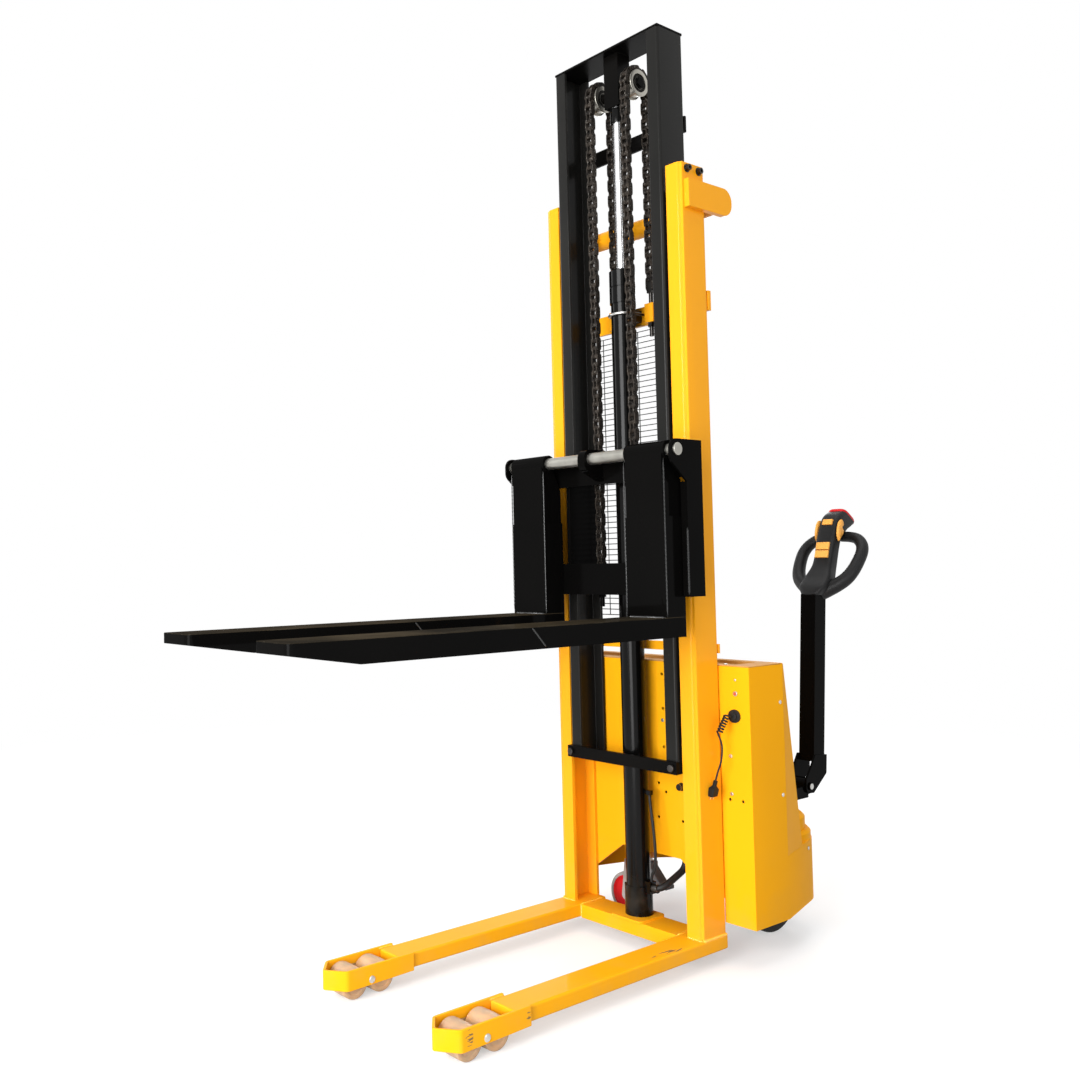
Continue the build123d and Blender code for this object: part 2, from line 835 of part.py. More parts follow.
def make_inner_crossmembers():
    """Crosshead with its sheave bracket and axle, the rear bar, and the bolted bottom bar."""
    top = block((-inner_outer, inner_outer), (inner_front, inner_rear), (channel_top, inner_top))
    half = bracket_width / 2
    hollow = half - bracket_wall
    bracket = block((-half, half), (lift_y - half, lift_y + half), (bracket_bottom, channel_top))
    bracket -= block(
        (-hollow, hollow), (lift_y - hollow, lift_y + half), (bracket_bottom + bracket_wall, channel_top))
    axle_end = chain_x + chain_half + sheave_side_gap + sheave_flange_width
    tail = axle_end + sheave_axle_tail
    bracket += round_bar("x", (lift_y, sheave_z), sheave_axle_radius, -tail, tail)
    for side in (-1, 1):
        seat = side * (axle_end + slide_gap)
        bracket += round_bar("x", (lift_y, sheave_z), sheave_washer_radius, seat, seat + side * sheave_washer)
    rear = block(
        (-inner_outer, inner_outer), (inner_rear, inner_rear + rear_bar_depth),
        (rear_bar_bottom, rear_bar_bottom + rear_bar_height))
    # The bar's front face stays clear of the back strands, whatever their place.
    strand_rear = lift_y + sheave_reach + plate_height / 2 + running_fit
    strand_half = chain_half + sheave_side_gap
    for side in (-1, 1):
        rear -= block(
            (side * chain_x - strand_half, side * chain_x + strand_half), (lift_y, strand_rear),
            (rear_bar_bottom, rear_bar_bottom + rear_bar_height))
    low = inner_bottom + bottom_bar_rise
    bottom = block(
        (-inner_outer - bottom_bar_overhang, inner_outer + bottom_bar_overhang),
        (inner_front - bottom_bar_depth, inner_front), (low, low + bottom_bar_height))
    bolt_seat = inner_front - bottom_bar_depth
    for side in (-1, 1):
        place = (side * (inner_outer - bottom_bolt_edge), low + bottom_bar_height / 2)
        bottom += hex_bar("y", place, bottom_bolt_radius, bolt_seat - bottom_bolt_height, bolt_seat)
    return group(top + bracket, rear, bottom)


def make_piston_rod():
    """Chromed rod with its piston inside the barrel and the collar under the crosshead."""
    low = piston_top - piston_height
    collar = rod_top - rod_collar_height
    piston = barrel_bore - running_fit
    return turned_z([
        (0, low), (piston, low), (piston, piston_top), (rod_radius, piston_top), (rod_radius, collar),
        (rod_collar_radius, collar), (rod_collar_radius, rod_top), (0, rod_top),
    ], 0, lift_y)


def pin_place(number):
    """Chain pin, counted from the carriage end: up the front, over the sheave, down the back."""
    if number <= front_links:
        return lift_y - sheave_reach, front_end_z + number * chain_pitch
    if number <= front_links + wrap_links:
        swing = pi * (number - front_links) / wrap_links
        return lift_y - sheave_reach * cos(swing), sheave_z + sheave_reach * sin(swing)
    return lift_y + sheave_reach, sheave_z - (number - front_links - wrap_links) * chain_pitch


def make_chain(first, last):
    """Links between two pins: outer and inner plate pairs in turn, with a roller on each pin."""
    half = plate_height / 2
    plate = outline([
        (0, -plate_overhang), (half, 0), (half, chain_pitch), (0, chain_pitch + plate_overhang),
        (-half, chain_pitch), (-half, 0),
    ])
    inner_plate = bar(plate, "x", link_gap, link_gap + plate_thickness)
    outer_plate = bar(plate, "x", link_gap + plate_thickness, chain_half)
    pairs = [(outer_plate, other_side(outer_plate)), (inner_plate, other_side(inner_plate))]
    roller = bar(RegularPolygon(link_roller_radius, 4), "x", -link_gap, link_gap)
    pieces = []
    for number in range(first, last):
        y, z = pin_place(number)
        next_y, next_z = pin_place(number + 1)
        tilt = degrees(atan2(y - next_y, next_z - z))
        place = Pos(chain_x, y, z) * Rot(tilt, 0, 0)
        pieces += [place * half_link for half_link in pairs[number % 2]]
        if number > 0:
            pieces.append(place * roller)
    return group(*pieces)


def make_sheave():
    """Flanged chain sheave with a recessed outer face round its bearing hub."""
    bore = sheave_axle_radius + running_fit
    seat_half = chain_half + sheave_side_gap
    face = seat_half + sheave_flange_width
    shoulder = sheave_flange_radius - sheave_flange_width
    section = [
        (-face, bore), (-face, sheave_flange_radius),
        (-seat_half, sheave_flange_radius), (-seat_half, sheave_seat),
        (seat_half, sheave_seat), (seat_half, sheave_flange_radius), (face, sheave_flange_radius),
        (face, shoulder - sheave_recess), (face - sheave_recess, shoulder - sheave_recess),
        (face - sheave_recess, sheave_hub_radius), (face, sheave_hub_radius), (face, bore),
    ]
    return turned_x(section, (chain_x, lift_y, sheave_z))


def make_carriage_frame():
    """Welded carriage: bars, uprights, end plates and hanger for the shaft, roller plates and chain shelves."""
    upper_top = upper_bar_bottom + upper_bar_height
    lower_top = lower_bar_bottom + lower_bar_height
    frame = block((-end_plate_inner, end_plate_inner), (face_front, face_rear), (upper_bar_bottom, upper_top))
    frame += block((-end_plate_inner, end_plate_inner), (face_front, face_rear), (lower_bar_bottom, lower_top))
    boss_front = shaft_y - shaft_boss
    boss_low = shaft_z - shaft_boss
    boss_top = shaft_z + shaft_boss
    end = outline([
        (end_plate_rear, end_plate_bottom), (end_plate_front, end_plate_bottom),
        (end_plate_front, end_arm_bottom), (boss_front, boss_low, boss_corner),
        (boss_front, boss_top, boss_corner), (end_plate_rear, boss_top, boss_corner / 2),
    ])
    hanger_low = boss_low - hanger_drop
    hanger = outline([
        (face_rear, hanger_low), (face_front, hanger_low), (boss_front, boss_low, boss_corner),
        (boss_front, boss_top, boss_corner), (face_rear, boss_top, boss_corner / 2),
    ])
    frame += bar(hanger, "x", -hanger_width / 2, hanger_width / 2)
    roller_top = roller_plate_bottom + roller_plate_height
    plate_outer = roller_plate_inner + roller_plate
    stub_end = inner_outer - inner_web - 4 * slide_gap
    for side in (-1, 1):
        frame += block(
            (side * upright_inner, side * (upright_inner + upright_width)), (face_front, face_rear),
            (lower_top, upper_bar_bottom))
        frame += bar(end, "x", side * end_plate_inner, side * (end_plate_inner + end_plate))
        frame += block(
            (side * (end_plate_inner - end_flange_width), side * end_plate_inner),
            (end_plate_front, end_plate_front + end_plate), (end_plate_bottom, end_arm_bottom))
        frame += block(
            (side * roller_plate_inner, side * plate_outer), (face_rear, roller_plate_rear),
            (roller_plate_bottom, roller_top))
        for height in (carriage_roller_low, carriage_roller_high):
            frame += round_bar(
                "x", (inner_middle_y, height), carriage_stub_radius, side * roller_plate_inner, side * stub_end)
        frame += block(
            (side * shelf_inner, side * plate_outer), (face_rear, shelf_rear), (shelf_bottom, shelf_top))
        frame += block(
            (side * roller_plate_inner, side * plate_outer), (face_rear, shelf_rear),
            (shelf_bottom, roller_plate_bottom))
        anchor = make_anchor(front_end_z, shelf_bottom, lift_y - sheave_reach)
        frame += anchor if side > 0 else other_side(anchor)
    hole = shaft_radius + running_fit
    return frame - round_bar("x", (shaft_y, shaft_z), hole, -shaft_end, shaft_end)


def make_carriage_rollers(height):
    """A pair of carriage rollers at one height, one in each inner channel, which turn alike."""
    outer = inner_outer - inner_web - slide_gap
    ring = Circle(carriage_roller_radius) - Circle(carriage_stub_radius + running_fit)
    roller = bar(Pos(inner_middle_y, height) * ring, "x", outer - carriage_roller_width, outer)
    return group(roller, other_side(roller))


def make_fork():
    """Blade folded down over the leg, its sides rising as doublers round a box shank, and the shaft sleeve."""
    outer = fork_width / 2
    inner = outer - fork_side
    plate_low = fork_top - fork_plate
    tip_low = fork_top - fork_tip_height
    rail = outline([
        (fork_rear, fork_heel), (fork_taper, fork_heel), (fork_tip, tip_low), (fork_tip, fork_top),
        (shank_front, fork_top), (shank_front, doubler_top), (fork_rear, doubler_top),
    ])
    cheek = outline([
        (fork_rear, plate_low), (shank_front, plate_low), (shank_front, shaft_z),
        (shaft_y + sleeve_radius / 2, shaft_z), (fork_rear, cheek_top),
    ])
    fork = block((track - outer, track + outer), (fork_tip, shank_front + fork_plate), (plate_low, fork_top))
    fork += block((track - outer, track + outer), (fork_tip, fork_tip + fork_plate), (tip_low, fork_top))
    fork += block(
        (track - inner, track + inner), (shank_front, shank_front + fork_plate),
        (plate_low, shaft_z - sleeve_radius / 4))
    for side in (-1, 1):
        fork += bar(rail, "x", track + side * inner, track + side * outer)
        fork += bar(cheek, "x", track + side * (inner - fork_side), track + side * inner)
    fork += round_bar("x", (shaft_y, shaft_z), sleeve_radius, track - outer, track + outer)
    fork -= round_bar("x", (shaft_y, shaft_z), shaft_radius + sleeve_fit, track - outer, track + outer)
    plan = outline([
        (track - outer, fork_rear), (track - outer, fork_tip, fork_tip_corner),
        (track + outer, fork_tip, fork_tip_corner), (track + outer, fork_rear),
    ])
    return fork & bar(plan, "z", fork_heel, shaft_z + sleeve_radius)


def flank_heading():
    """Direction in plan of the right flank, from the side's end to its tangent point on the rear corner."""
    reach_x = drive_x - cover_half
    reach_y = drive_y - flank_start
    return atan2(reach_y, reach_x) - asin(skirt_radius / hypot(reach_x, reach_y))


def cover_plan(inset):
    """Plan of the covers: straight sides, then flanks tangent to round rear corners about the drive axis."""
    heading = flank_heading()
    flank = sqrt((drive_x - cover_half) ** 2 + (drive_y - flank_start) ** 2 - skirt_radius ** 2)
    tangent = (cover_half + flank * cos(heading), flank_start + flank * sin(heading))
    swing = heading / 2
    middle = (drive_x + skirt_radius * cos(swing), drive_y + skirt_radius * sin(swing))
    right = [
        Line((0, cover_front), (cover_half, cover_front)),
        Line((cover_half, cover_front), (cover_half, flank_start)),
        Line((cover_half, flank_start), tangent),
        ThreePointArc(tangent, middle, (drive_x, cover_rear)),
        Line((drive_x, cover_rear), (0, cover_rear)),
    ]
    left = [edge.mirror(Plane.YZ) for edge in right]
    face = make_face(right + left)
    return face if inset == 0 else offset(face, amount=-inset, kind=Kind.INTERSECTION)


def make_main_cover():
    """Folded cover: front wings beside the mast, both sides, and the low skirt round the drive wheel."""
    skin = bar(cover_plan(0), "z", cover_bottom, cover_top)
    cover = skin - bar(cover_plan(sheet), "z", cover_bottom, cover_top)
    cover -= block((-cover_half, cover_half), (flank_start, cover_rear), (skirt_top, cover_top))
    mouth = column_outer + cover_gap
    cover -= block((-mouth, mouth), (cover_front, cover_front + sheet), (cover_bottom, cover_top))
    back = cover_front + sheet
    cover -= round_bar("y", (grommet_x, grommet_z), grommet_bore + slide_gap, cover_front, back)
    for edge in wing_hole_edges:
        for side in (-1, 1):
            place = (side * (cover_half - edge), cover_top - wing_hole_drop)
            cover -= round_bar("y", place, panel_hole_radius, cover_front, back)
    return cover


def make_front_panel():
    """Flat panel behind the mast with a bottom lip folded back, small holes and a black knob."""
    half = column_outer
    front = column_depth
    lip_end = half - gusset_plate - slide_gap
    panel = block((-half, half), (front, front + sheet), (panel_bottom, cover_top))
    panel += block((-lip_end, lip_end), (front, front + panel_lip), (panel_bottom, panel_bottom + sheet))
    for place in panel_holes:
        panel -= round_bar("y", place, panel_hole_radius, front, front + sheet)
    return panel + round_bar("y", panel_knob, panel_knob_radius, front - panel_knob_height, front)


def hood_profile(inset):
    """Side view of the hood: a crest by the lid, then a slope down to the deck."""
    front = flank_start - (1 if inset else 0)
    low = skirt_top - (1 if inset else 0)
    top = cover_top + sheet - inset
    lean = (hood_rear - hood_crest) / (cover_top - skirt_top)
    shift = inset * sqrt(1 + lean ** 2)
    crest = hood_crest - shift + lean * inset
    return outline([
        (front, low), (front, top), (crest, top, max(hood_rounding - inset, 1.0)), (hood_rear - shift, low),
    ])


def make_rear_cover():
    """Moulded rear cover: sloped hood, flat deck on the skirt, and the stepped dome over the drive unit."""
    lid = block((-cover_half, cover_half), (flank_start, cover_rear), (skirt_top, cover_top + sheet))
    deck = bar(cover_plan(0), "z", skirt_top, skirt_top + sheet) & lid
    hood_top = cover_top + sheet
    hood = bar(cover_plan(0), "z", skirt_top, hood_top) & bar(hood_profile(0), "x", -cover_half, cover_half)
    hood_hollow = bar(cover_plan(sheet), "z", skirt_top, hood_top)
    hood_hollow &= bar(hood_profile(sheet), "x", -cover_half, cover_half)
    dome = turned_z([
        (0, skirt_top), (dome_radius, skirt_top), (dome_radius, dome_shoulder - dome_edge),
        (dome_radius - dome_edge, dome_shoulder), (dome_cap_radius, dome_shoulder),
        (dome_cap_radius, dome_top - dome_edge), (dome_cap_radius - dome_edge, dome_top), (0, dome_top),
    ], drive_x, drive_y)
    dome_hollow = turned_z([
        (0, skirt_top), (dome_radius - sheet, skirt_top),
        (dome_radius - sheet, dome_shoulder - dome_edge - sheet), (dome_cap_radius - sheet, dome_shoulder - sheet),
        (dome_cap_radius - sheet, dome_top - dome_edge - sheet),
        (dome_cap_radius - dome_edge - sheet, dome_top - sheet), (0, dome_top - sheet),
    ], drive_x, drive_y)
    cover = hood + deck + dome
    cover -= hood_hollow
    cover -= dome_hollow
    return cover - round_bar("z", (drive_x, drive_y), neck_radius + dome_hole_gap, skirt_top, dome_top)


def make_lid():
    """Top lid with a shallow pan pressed into it."""
    rear = flank_start - slide_gap
    half = cover_half
    pan_front = cover_front + lid_pan_inset
    pan_rear = rear - lid_pan_inset
    pan_half = half - lid_pan_margin
    plan = outline([
        (-half, cover_front, cover_corner), (half, cover_front, cover_corner), (half, rear), (-half, rear),
    ])
    lid = bar(plan, "z", cover_top, cover_top + sheet)
    low = cover_top - lid_pan_depth
    lid += block((-pan_half, pan_half), (pan_front, pan_rear), (low, cover_top))
    return lid - block(
        (sheet - pan_half, pan_half - sheet), (pan_front + sheet, pan_rear - sheet),
        (low + sheet, cover_top + sheet))


def make_chassis_frame():
    """Thick frame plate drilled for the slewing ring, with mast gussets and the caster boss."""
    plate = bar(cover_plan(frame_inset), "z", frame_bottom, frame_top)
    plate -= round_bar("z", (drive_x, drive_y), slew_radius, frame_bottom, frame_top)
    gusset = outline([
        (column_outer, gusset_low), (column_outer, panel_bottom), (gusset_inner, panel_bottom),
        (column_outer - column_width, gusset_low),
    ])
    rib = bar(gusset, "y", cover_front, cover_front + gusset_plate)
    tail = outline([
        (cover_front + gusset_plate, gusset_low), (cover_front + panel_lip + frame_plate, frame_bottom),
        (cover_front + gusset_plate, frame_bottom),
    ])
    rib += bar(tail, "x", column_outer - gusset_plate, column_outer)
    rib += block(
        (column_outer - gusset_plate, column_outer),
        (cover_front + panel_lip, cover_front + panel_lip + frame_plate), (panel_bottom, frame_bottom))
    boss = round_bar("z", (caster_x, caster_y), caster_boss_radius, caster_boss_bottom, frame_bottom)
    socket_top = caster_boss_bottom + kingpin_length + slide_gap
    boss -= round_bar("z", (caster_x, caster_y), kingpin_radius + running_fit, caster_boss_bottom, socket_top)
    return plate + rib + other_side(rib) + boss


def make_batteries():
    """Two batteries side by side on the frame plate, each with a pair of terminals."""
    pieces = []
    top = frame_top + battery_height
    front = battery_rear - battery_depth
    for side in (-1, 1):
        inner = side * battery_gap / 2
        outer = inner + side * battery_width
        case = block((inner, outer), (front, battery_rear), (frame_top, top))
        for share in (0.2, 0.8):
            place = (inner + share * (outer - inner), front + battery_depth / 4)
            case += round_bar("z", place, terminal_radius, top, top + terminal_height)
        pieces.append(case)
    return group(*pieces)


def make_power_unit():
    """Pump motor standing on the frame plate, the pump block on it and the oil tank on top."""
    motor_top = frame_top + pump_motor_height
    block_top = motor_top + pump_block_height
    half = pump_block / 2
    unit = round_bar("z", (pump_x, pump_y), pump_motor_radius, frame_top, motor_top)
    unit += block((pump_x - half, pump_x + half), (pump_y - half, pump_y + half), (motor_top, block_top))
    tank = Pos(pump_x, pump_y) * RectangleRounded(tank_width, tank_depth, cover_corner)
    return unit + bar(tank, "z", block_top, block_top + tank_height)


def make_controller():
    """Motor controller: a flat case with a row of cooling fins."""
    half = controller_width / 2
    deep = controller_depth / 2
    top = frame_top + controller_height
    case = block((controller_x - half, controller_x + half), (pump_y - deep, pump_y + deep), (frame_top, top))
    step = (controller_width - fin_width) / (fin_count - 1)
    for fin in range(fin_count):
        left = controller_x - half + fin * step
        case += block((left, left + fin_width), (pump_y - deep, pump_y + deep), (top, top + fin_height))
    return case


def make_cover_fittings():
    """Screw heads on the covers, and the charge lamp and its small pilot light."""
    screw = extrude(Circle(screw_radius), amount=screw_head)
    heading = flank_heading()
    along = Vector(cos(heading), sin(heading), 0)
    outward = Vector(sin(heading), -cos(heading), 0)
    flank = Vector(cover_half, flank_start, skirt_top - flank_screw_drop) + along * flank_screw_along
    places = [Plane(flank, z_dir=outward)]
    for drop in wing_screw_drops:
        places.append(Plane((cover_half - wing_screw_edge, cover_front, cover_top - drop), z_dir=(0, -1, 0)))
    for drop in side_screw_drops:
        places.append(Plane((cover_half, flank_start - side_screw_inset, cover_top - drop), z_dir=(1, 0, 0)))
    pieces = [place * screw for place in places]
    pieces += [other_side(piece) for piece in pieces]
    lid_place = (cover_half - lid_screw_edge, cover_front + lid_screw_inset, cover_top + sheet)
    pieces.append(Pos(*lid_place) * screw)
    pieces.append(round_bar("y", panel_screw, screw_radius, cover_front - screw_head, cover_front))
    lamp_x = cover_half - lamp_edge
    lamp = (lamp_x, cover_top - lamp_drop)
    pieces.append(round_bar("y", lamp, lamp_radius, cover_front - lamp_height, cover_front))
    pilot = (lamp_x, cover_top - pilot_drop)
    pieces.append(round_bar("y", pilot, lamp_radius / 2, cover_front - screw_head, cover_front))
    return group(*pieces)


def make_drive_unit():
    """Steering drive: turned flange, ring, motor and neck about the steering axis, gearbox and axle below."""
    ring = slew_radius - slide_gap
    unit = turned_z([
        (0, frame_bottom - slew_flange), (slew_flange_radius, frame_bottom - slew_flange),
        (slew_flange_radius, frame_bottom), (ring, frame_bottom), (ring, frame_top + slew_rim),
        (drive_motor_radius, frame_top + slew_rim), (drive_motor_radius, drive_motor_top - drive_motor_edge),
        (drive_motor_radius - drive_motor_edge, drive_motor_top), (neck_radius, drive_motor_top),
        (neck_radius, tiller_base_bottom), (0, tiller_base_bottom),
    ], drive_x, drive_y)
    side = drive_x - drive_wheel_width / 2 - gearbox_gap
    deep = gearbox_half_depth
    case = outline([
        (drive_y - deep, frame_bottom - slew_flange), (drive_y - deep, gearbox_bottom, gearbox_corner),
        (drive_y + deep, gearbox_bottom, gearbox_corner), (drive_y + deep, frame_bottom - slew_flange),
    ])
    unit += bar(case, "x", side - gearbox_width, side)
    axle_end = drive_x + drive_wheel_width / 2 - drive_hub_recess
    return unit + round_bar("x", (drive_y, drive_wheel_radius), drive_axle_radius, side, axle_end)


def make_drive_wheel():
    """Drive wheel with bevelled tread edges and a hub recessed on its outer side."""
    half = drive_wheel_width / 2
    bore = drive_axle_radius + running_fit
    section = wheel_section(half, drive_wheel_radius, drive_wheel_edge)
    section += [
        (half, drive_hub_radius), (half - drive_hub_recess, drive_hub_radius - drive_hub_recess / 2),
        (half - drive_hub_recess, bore), (-half, bore),
    ]
    return turned_x(section, (drive_x, drive_y, drive_wheel_radius))


def make_tiller_base():
    """Steering arm on the drive unit's neck, drawn in to the lug and pin that carry the tiller."""
    root = tiller_root_half
    front = drive_y - root
    waist = pivot_y - 2 * root
    plan = outline([
        (drive_x - root, front, tiller_root_corner), (drive_x + root, front, tiller_root_corner),
        (drive_x + root, drive_y + root / 2),
        (drive_x + tiller_half, waist), (drive_x + tiller_half, pivot_y), (drive_x - tiller_half, pivot_y),
        (drive_x - tiller_half, waist), (drive_x - root, drive_y + root / 2),
    ])
    base = bar(plan, "z", tiller_base_bottom, tiller_base_top)
    base += round_bar(
        "x", (pivot_y, pivot_z), pivot_lug_radius, drive_x - tiller_half, drive_x + tiller_half)
    cheek_face = arm_half_width + arm_cheek
    head = cheek_face + slide_gap + pivot_head_depth
    base += round_bar("x", (pivot_y, pivot_z), pivot_pin_radius, drive_x - head, drive_x + head)
    for side in (-1, 1):
        seat = drive_x + side * (cheek_face + slide_gap)
        base += round_bar("x", (pivot_y, pivot_z), pivot_head_radius, seat, seat + side * pivot_head_depth)
    return base


def on_arm(piece):
    """Piece made about the pivot with the arm upright, leant back and set in place."""
    return Pos(drive_x, pivot_y, pivot_z) * Rot(-arm_lean, 0, 0) * piece


def make_tiller_arm():
    """Box-tube arm with the two cheeks that hang it on the pivot pin."""
    front = arm_offset - arm_depth / 2
    rear = arm_offset + arm_depth / 2
    wide = arm_half_width
    arm = block((-wide, wide), (front, rear), (arm_bottom, arm_top))
    hollow = wide - arm_wall
    arm -= block((-hollow, hollow), (front + arm_wall, rear - arm_wall), (arm_bottom, arm_top))
    lug = pivot_lug_radius - cheek_margin
    back = rear + cheek_overhang
    cheek = outline([
        (-lug, lug), (-lug, -lug, cheek_corner), (lug, -lug, lug / 2), (back, arm_bottom / 2, lug / 2),
        (back, arm_bottom + lug), (front - cheek_overhang, arm_bottom + lug),
        (front - lug, arm_bottom - lug / 2),
    ])
    for side in (-1, 1):
        outer = side * (wide + arm_cheek)
        plate = bar(cheek, "x", side * wide, outer)
        arm += plate - round_bar("x", (0, 0), pivot_pin_radius + running_fit, side * wide, outer)
    return on_arm(arm)


def head_origin():
    """Middle of the arm's top end, where the head sits."""
    turn = arm_lean * pi / 180
    y = pivot_y + arm_offset * cos(turn) + arm_top * sin(turn)
    z = pivot_z + arm_top * cos(turn) - arm_offset * sin(turn)
    return y, z


def head_stations():
    """Front point, rear point and half width of the head's cross sections, from the neck to the belly end."""
    turn = arm_lean * pi / 180
    deep = arm_depth / 2
    neck = ((-deep * cos(turn), deep * sin(turn)), (deep * cos(turn), -deep * sin(turn)), neck_half_width)
    return [neck] + list(zip(head_fronts, head_rears, head_widths))


def head_point(offset_yz, x=0.0):
    """Point of the tiller head, given beside the arm's top end."""
    y, z = head_origin()
    return Vector(drive_x + x, y + offset_yz[0], z + offset_yz[1])


def head_section(front, rear, half_width):
    """Chamfered cross section of the head between a front and a rear point."""
    start = head_point(front)
    end = head_point(rear)
    along = (end - start).normalized() * head_chamfer
    across = Vector(half_width, 0, 0)
    trim = Vector(half_width - head_chamfer, 0, 0)
    corners = [
        start - trim, start + trim, start + along + across, end - along + across,
        end + trim, end - trim, end - along - across, start + along - across,
    ]
    return make_face(Polyline(*corners, close=True))


def head_plane(low, high, share):
    """Plane on the head's front face, a share of the way between two stations, facing outward."""
    stations = head_stations()
    start = head_point(stations[low][0])
    end = head_point(stations[high][0])
    along = (end - start).normalized()
    outward = Vector(1, 0, 0).cross(along)
    return Plane(start + (end - start) * share, x_dir=(1, 0, 0), z_dir=outward)


def belly_plane():
    """Plane on the head's belly end, with its X across the machine and Z outward."""
    front, rear, half_width = head_stations()[-1]
    start = head_point(front)
    end = head_point(rear)
    outward = Vector(1, 0, 0).cross((end - start).normalized())
    return Plane((start + end) * 0.5, x_dir=(1, 0, 0), z_dir=outward)


def key_planes():
    """Places of the thumb button and of the raise and lower buttons on the head's front."""
    return {
        "thumb_button": (head_plane(3, 4, thumb_share), thumb_width, thumb_length),
        "raise_button": (head_plane(2, 3, raise_share), lift_key_width, lift_key_length),
        "lower_button": (head_plane(2, 3, lower_share), lift_key_width, lift_key_length),
    }


def paddle_centre():
    """Axis of the butterfly switch through the head."""
    return head_point(paddle_place)


def make_tiller_head():
    """Moulded head: a chamfered body that leans back and flares to its belly end, with two hand loops."""
    sections = [head_section(*station) for station in head_stations()]
    head = loft(sections, ruled=True)
    turn = loop_lean * pi / 180
    reach = arm_depth
    y, z = head_origin()
    plane = Plane((drive_x, y, z), x_dir=(1, 0, 0), z_dir=(0, -cos(turn), sin(turn)))
    for side in (1, -1):
        points = [plane.from_local_coords((side * u, w, 0)) for u, w in loop_route]
        path = FilletPolyline(*points, radius=loop_bends)
        start = Plane(points[0], z_dir=path % 0)
        head += sweep(start * RegularPolygon(loop_tube_radius, hose_sides), path=path)
    head -= on_arm(block((-reach, reach), (arm_offset - reach, arm_offset + reach), (arm_top - reach, arm_top)))
    seat = belly_plane()
    pocket_width = belly_width - 2 * belly_plug + 2 * button_gap
    pocket_depth = belly_depth - 2 * belly_plug + 2 * button_gap
    head -= seat * Pos(0, 0, -belly_plug - belly_travel) * extrude(
        Rectangle(pocket_width, pocket_depth), amount=2 * (belly_plug + belly_travel))
    for plane, width, length in key_planes().values():
        deep = key_plug + key_travel
        pocket = Rectangle(width + 2 * button_gap, length + 2 * button_gap)
        head -= plane * Pos(0, 0, -deep) * extrude(pocket, amount=2 * deep)
    middle = paddle_centre()
    bore = paddle_shaft_radius + running_fit
    wide = loop_half_width
    return head - round_bar("x", (middle.Y, middle.Z), bore, drive_x - wide, drive_x + wide)


def make_belly_button():
    """Red belly button: a crowned plate on a plug that sinks into the head's end."""
    half = belly_depth / 2
    crown = make_face([
        Line((-half, 0), (half, 0)), ThreePointArc((half, 0), (0, belly_crown), (-half, 0)),
    ])
    plate = extrude(Plane.YZ * crown, amount=belly_width / 2, both=True)
    section = Rectangle(belly_width - 2 * belly_plug, belly_depth - 2 * belly_plug)
    plug = extrude(section, amount=button_gap - belly_plug - belly_travel)
    return belly_plane() * Pos(0, 0, belly_travel + button_gap) * (plate + plug)


def make_key(name):
    """Front push button with its plug in the head."""
    plane, width, length = key_planes()[name]
    key = extrude(Rectangle(width, length), amount=key_height + key_plug)
    rounded = chamfer(key.faces().sort_by(Axis.Z)[-1].edges(), key_height / 4)
    return plane * Pos(0, 0, -key_plug) * rounded


def make_butterfly():
    """Two leaf-shaped paddles on one shaft through the head."""
    middle = paddle_centre()
    stations = head_stations()
    lean = Vector(*stations[4][0]) - Vector(*stations[2][0])
    tilt = degrees(atan2(lean.Y, lean.X))
    reach = paddle_length / 2
    leaf = make_face([
        ThreePointArc((-reach, 0), (0, paddle_width / 2), (reach, 0)),
        ThreePointArc((reach, 0), (0, -paddle_width / 2), (-reach, 0)),
    ])
    inner = head_half_width + paddle_gap
    outer = inner + paddle_thickness
    switch = round_bar("x", (middle.Y, middle.Z), paddle_shaft_radius, drive_x - outer, drive_x + outer)
    for side in (-1, 1):
        face = Pos(middle.Y, middle.Z) * Rot(0, 0, tilt) * leaf
        switch += bar(face, "x", drive_x + side * inner, drive_x + side * outer)
    return switch


def make_caster_fork():
    """Swivel plate and kingpin with two cheeks down to the wheel axle, and the pedal's pin."""
    top = caster_boss_bottom
    low = top - caster_plate
    fork = round_bar("z", (caster_x, caster_y), caster_plate_radius, low, top)
    fork += round_bar("z", (caster_x, caster_y), kingpin_radius, top, top + kingpin_length)
    inner = caster_wheel_width / 2 + caster_side_gap
    foot = caster_foot
    axle_z = caster_wheel_radius
    ear = pedal_pin_x + 2 * pedal_pin_radius
    cheek = outline([
        (caster_x - caster_plate_radius, low), (ear, low), (ear, pedal_pin_z - 2 * pedal_pin_radius),
        (caster_x, pedal_pin_z - 3 * pedal_pin_radius),
        (caster_wheel_x + foot, axle_z - foot, foot - 2), (caster_wheel_x - foot, axle_z - foot, foot - 2),
    ])
    for side in (-1, 1):
        fork += bar(cheek, "y", caster_y + side * inner, caster_y + side * (inner + caster_cheek))
    reach = inner + caster_cheek
    low_y = caster_y - reach
    high_y = caster_y + reach
    fork += round_bar("y", (caster_wheel_x, axle_z), caster_axle_radius, low_y, high_y)
    return fork + round_bar("y", (pedal_pin_x, pedal_pin_z), pedal_pin_radius, low_y, high_y)


def make_caster_wheel():
    """Caster wheel with bevelled tread edges, bored for its axle along Y."""
    half = caster_wheel_width / 2
    bore = caster_axle_radius + running_fit
    radius = caster_wheel_radius
    section = wheel_section(half, radius, caster_wheel_edge) + [(half, bore), (-half, bore)]
    return Pos(caster_wheel_x, caster_y, radius) * Rot(0, 0, 90) * turned_x(section, (0, 0, 0))


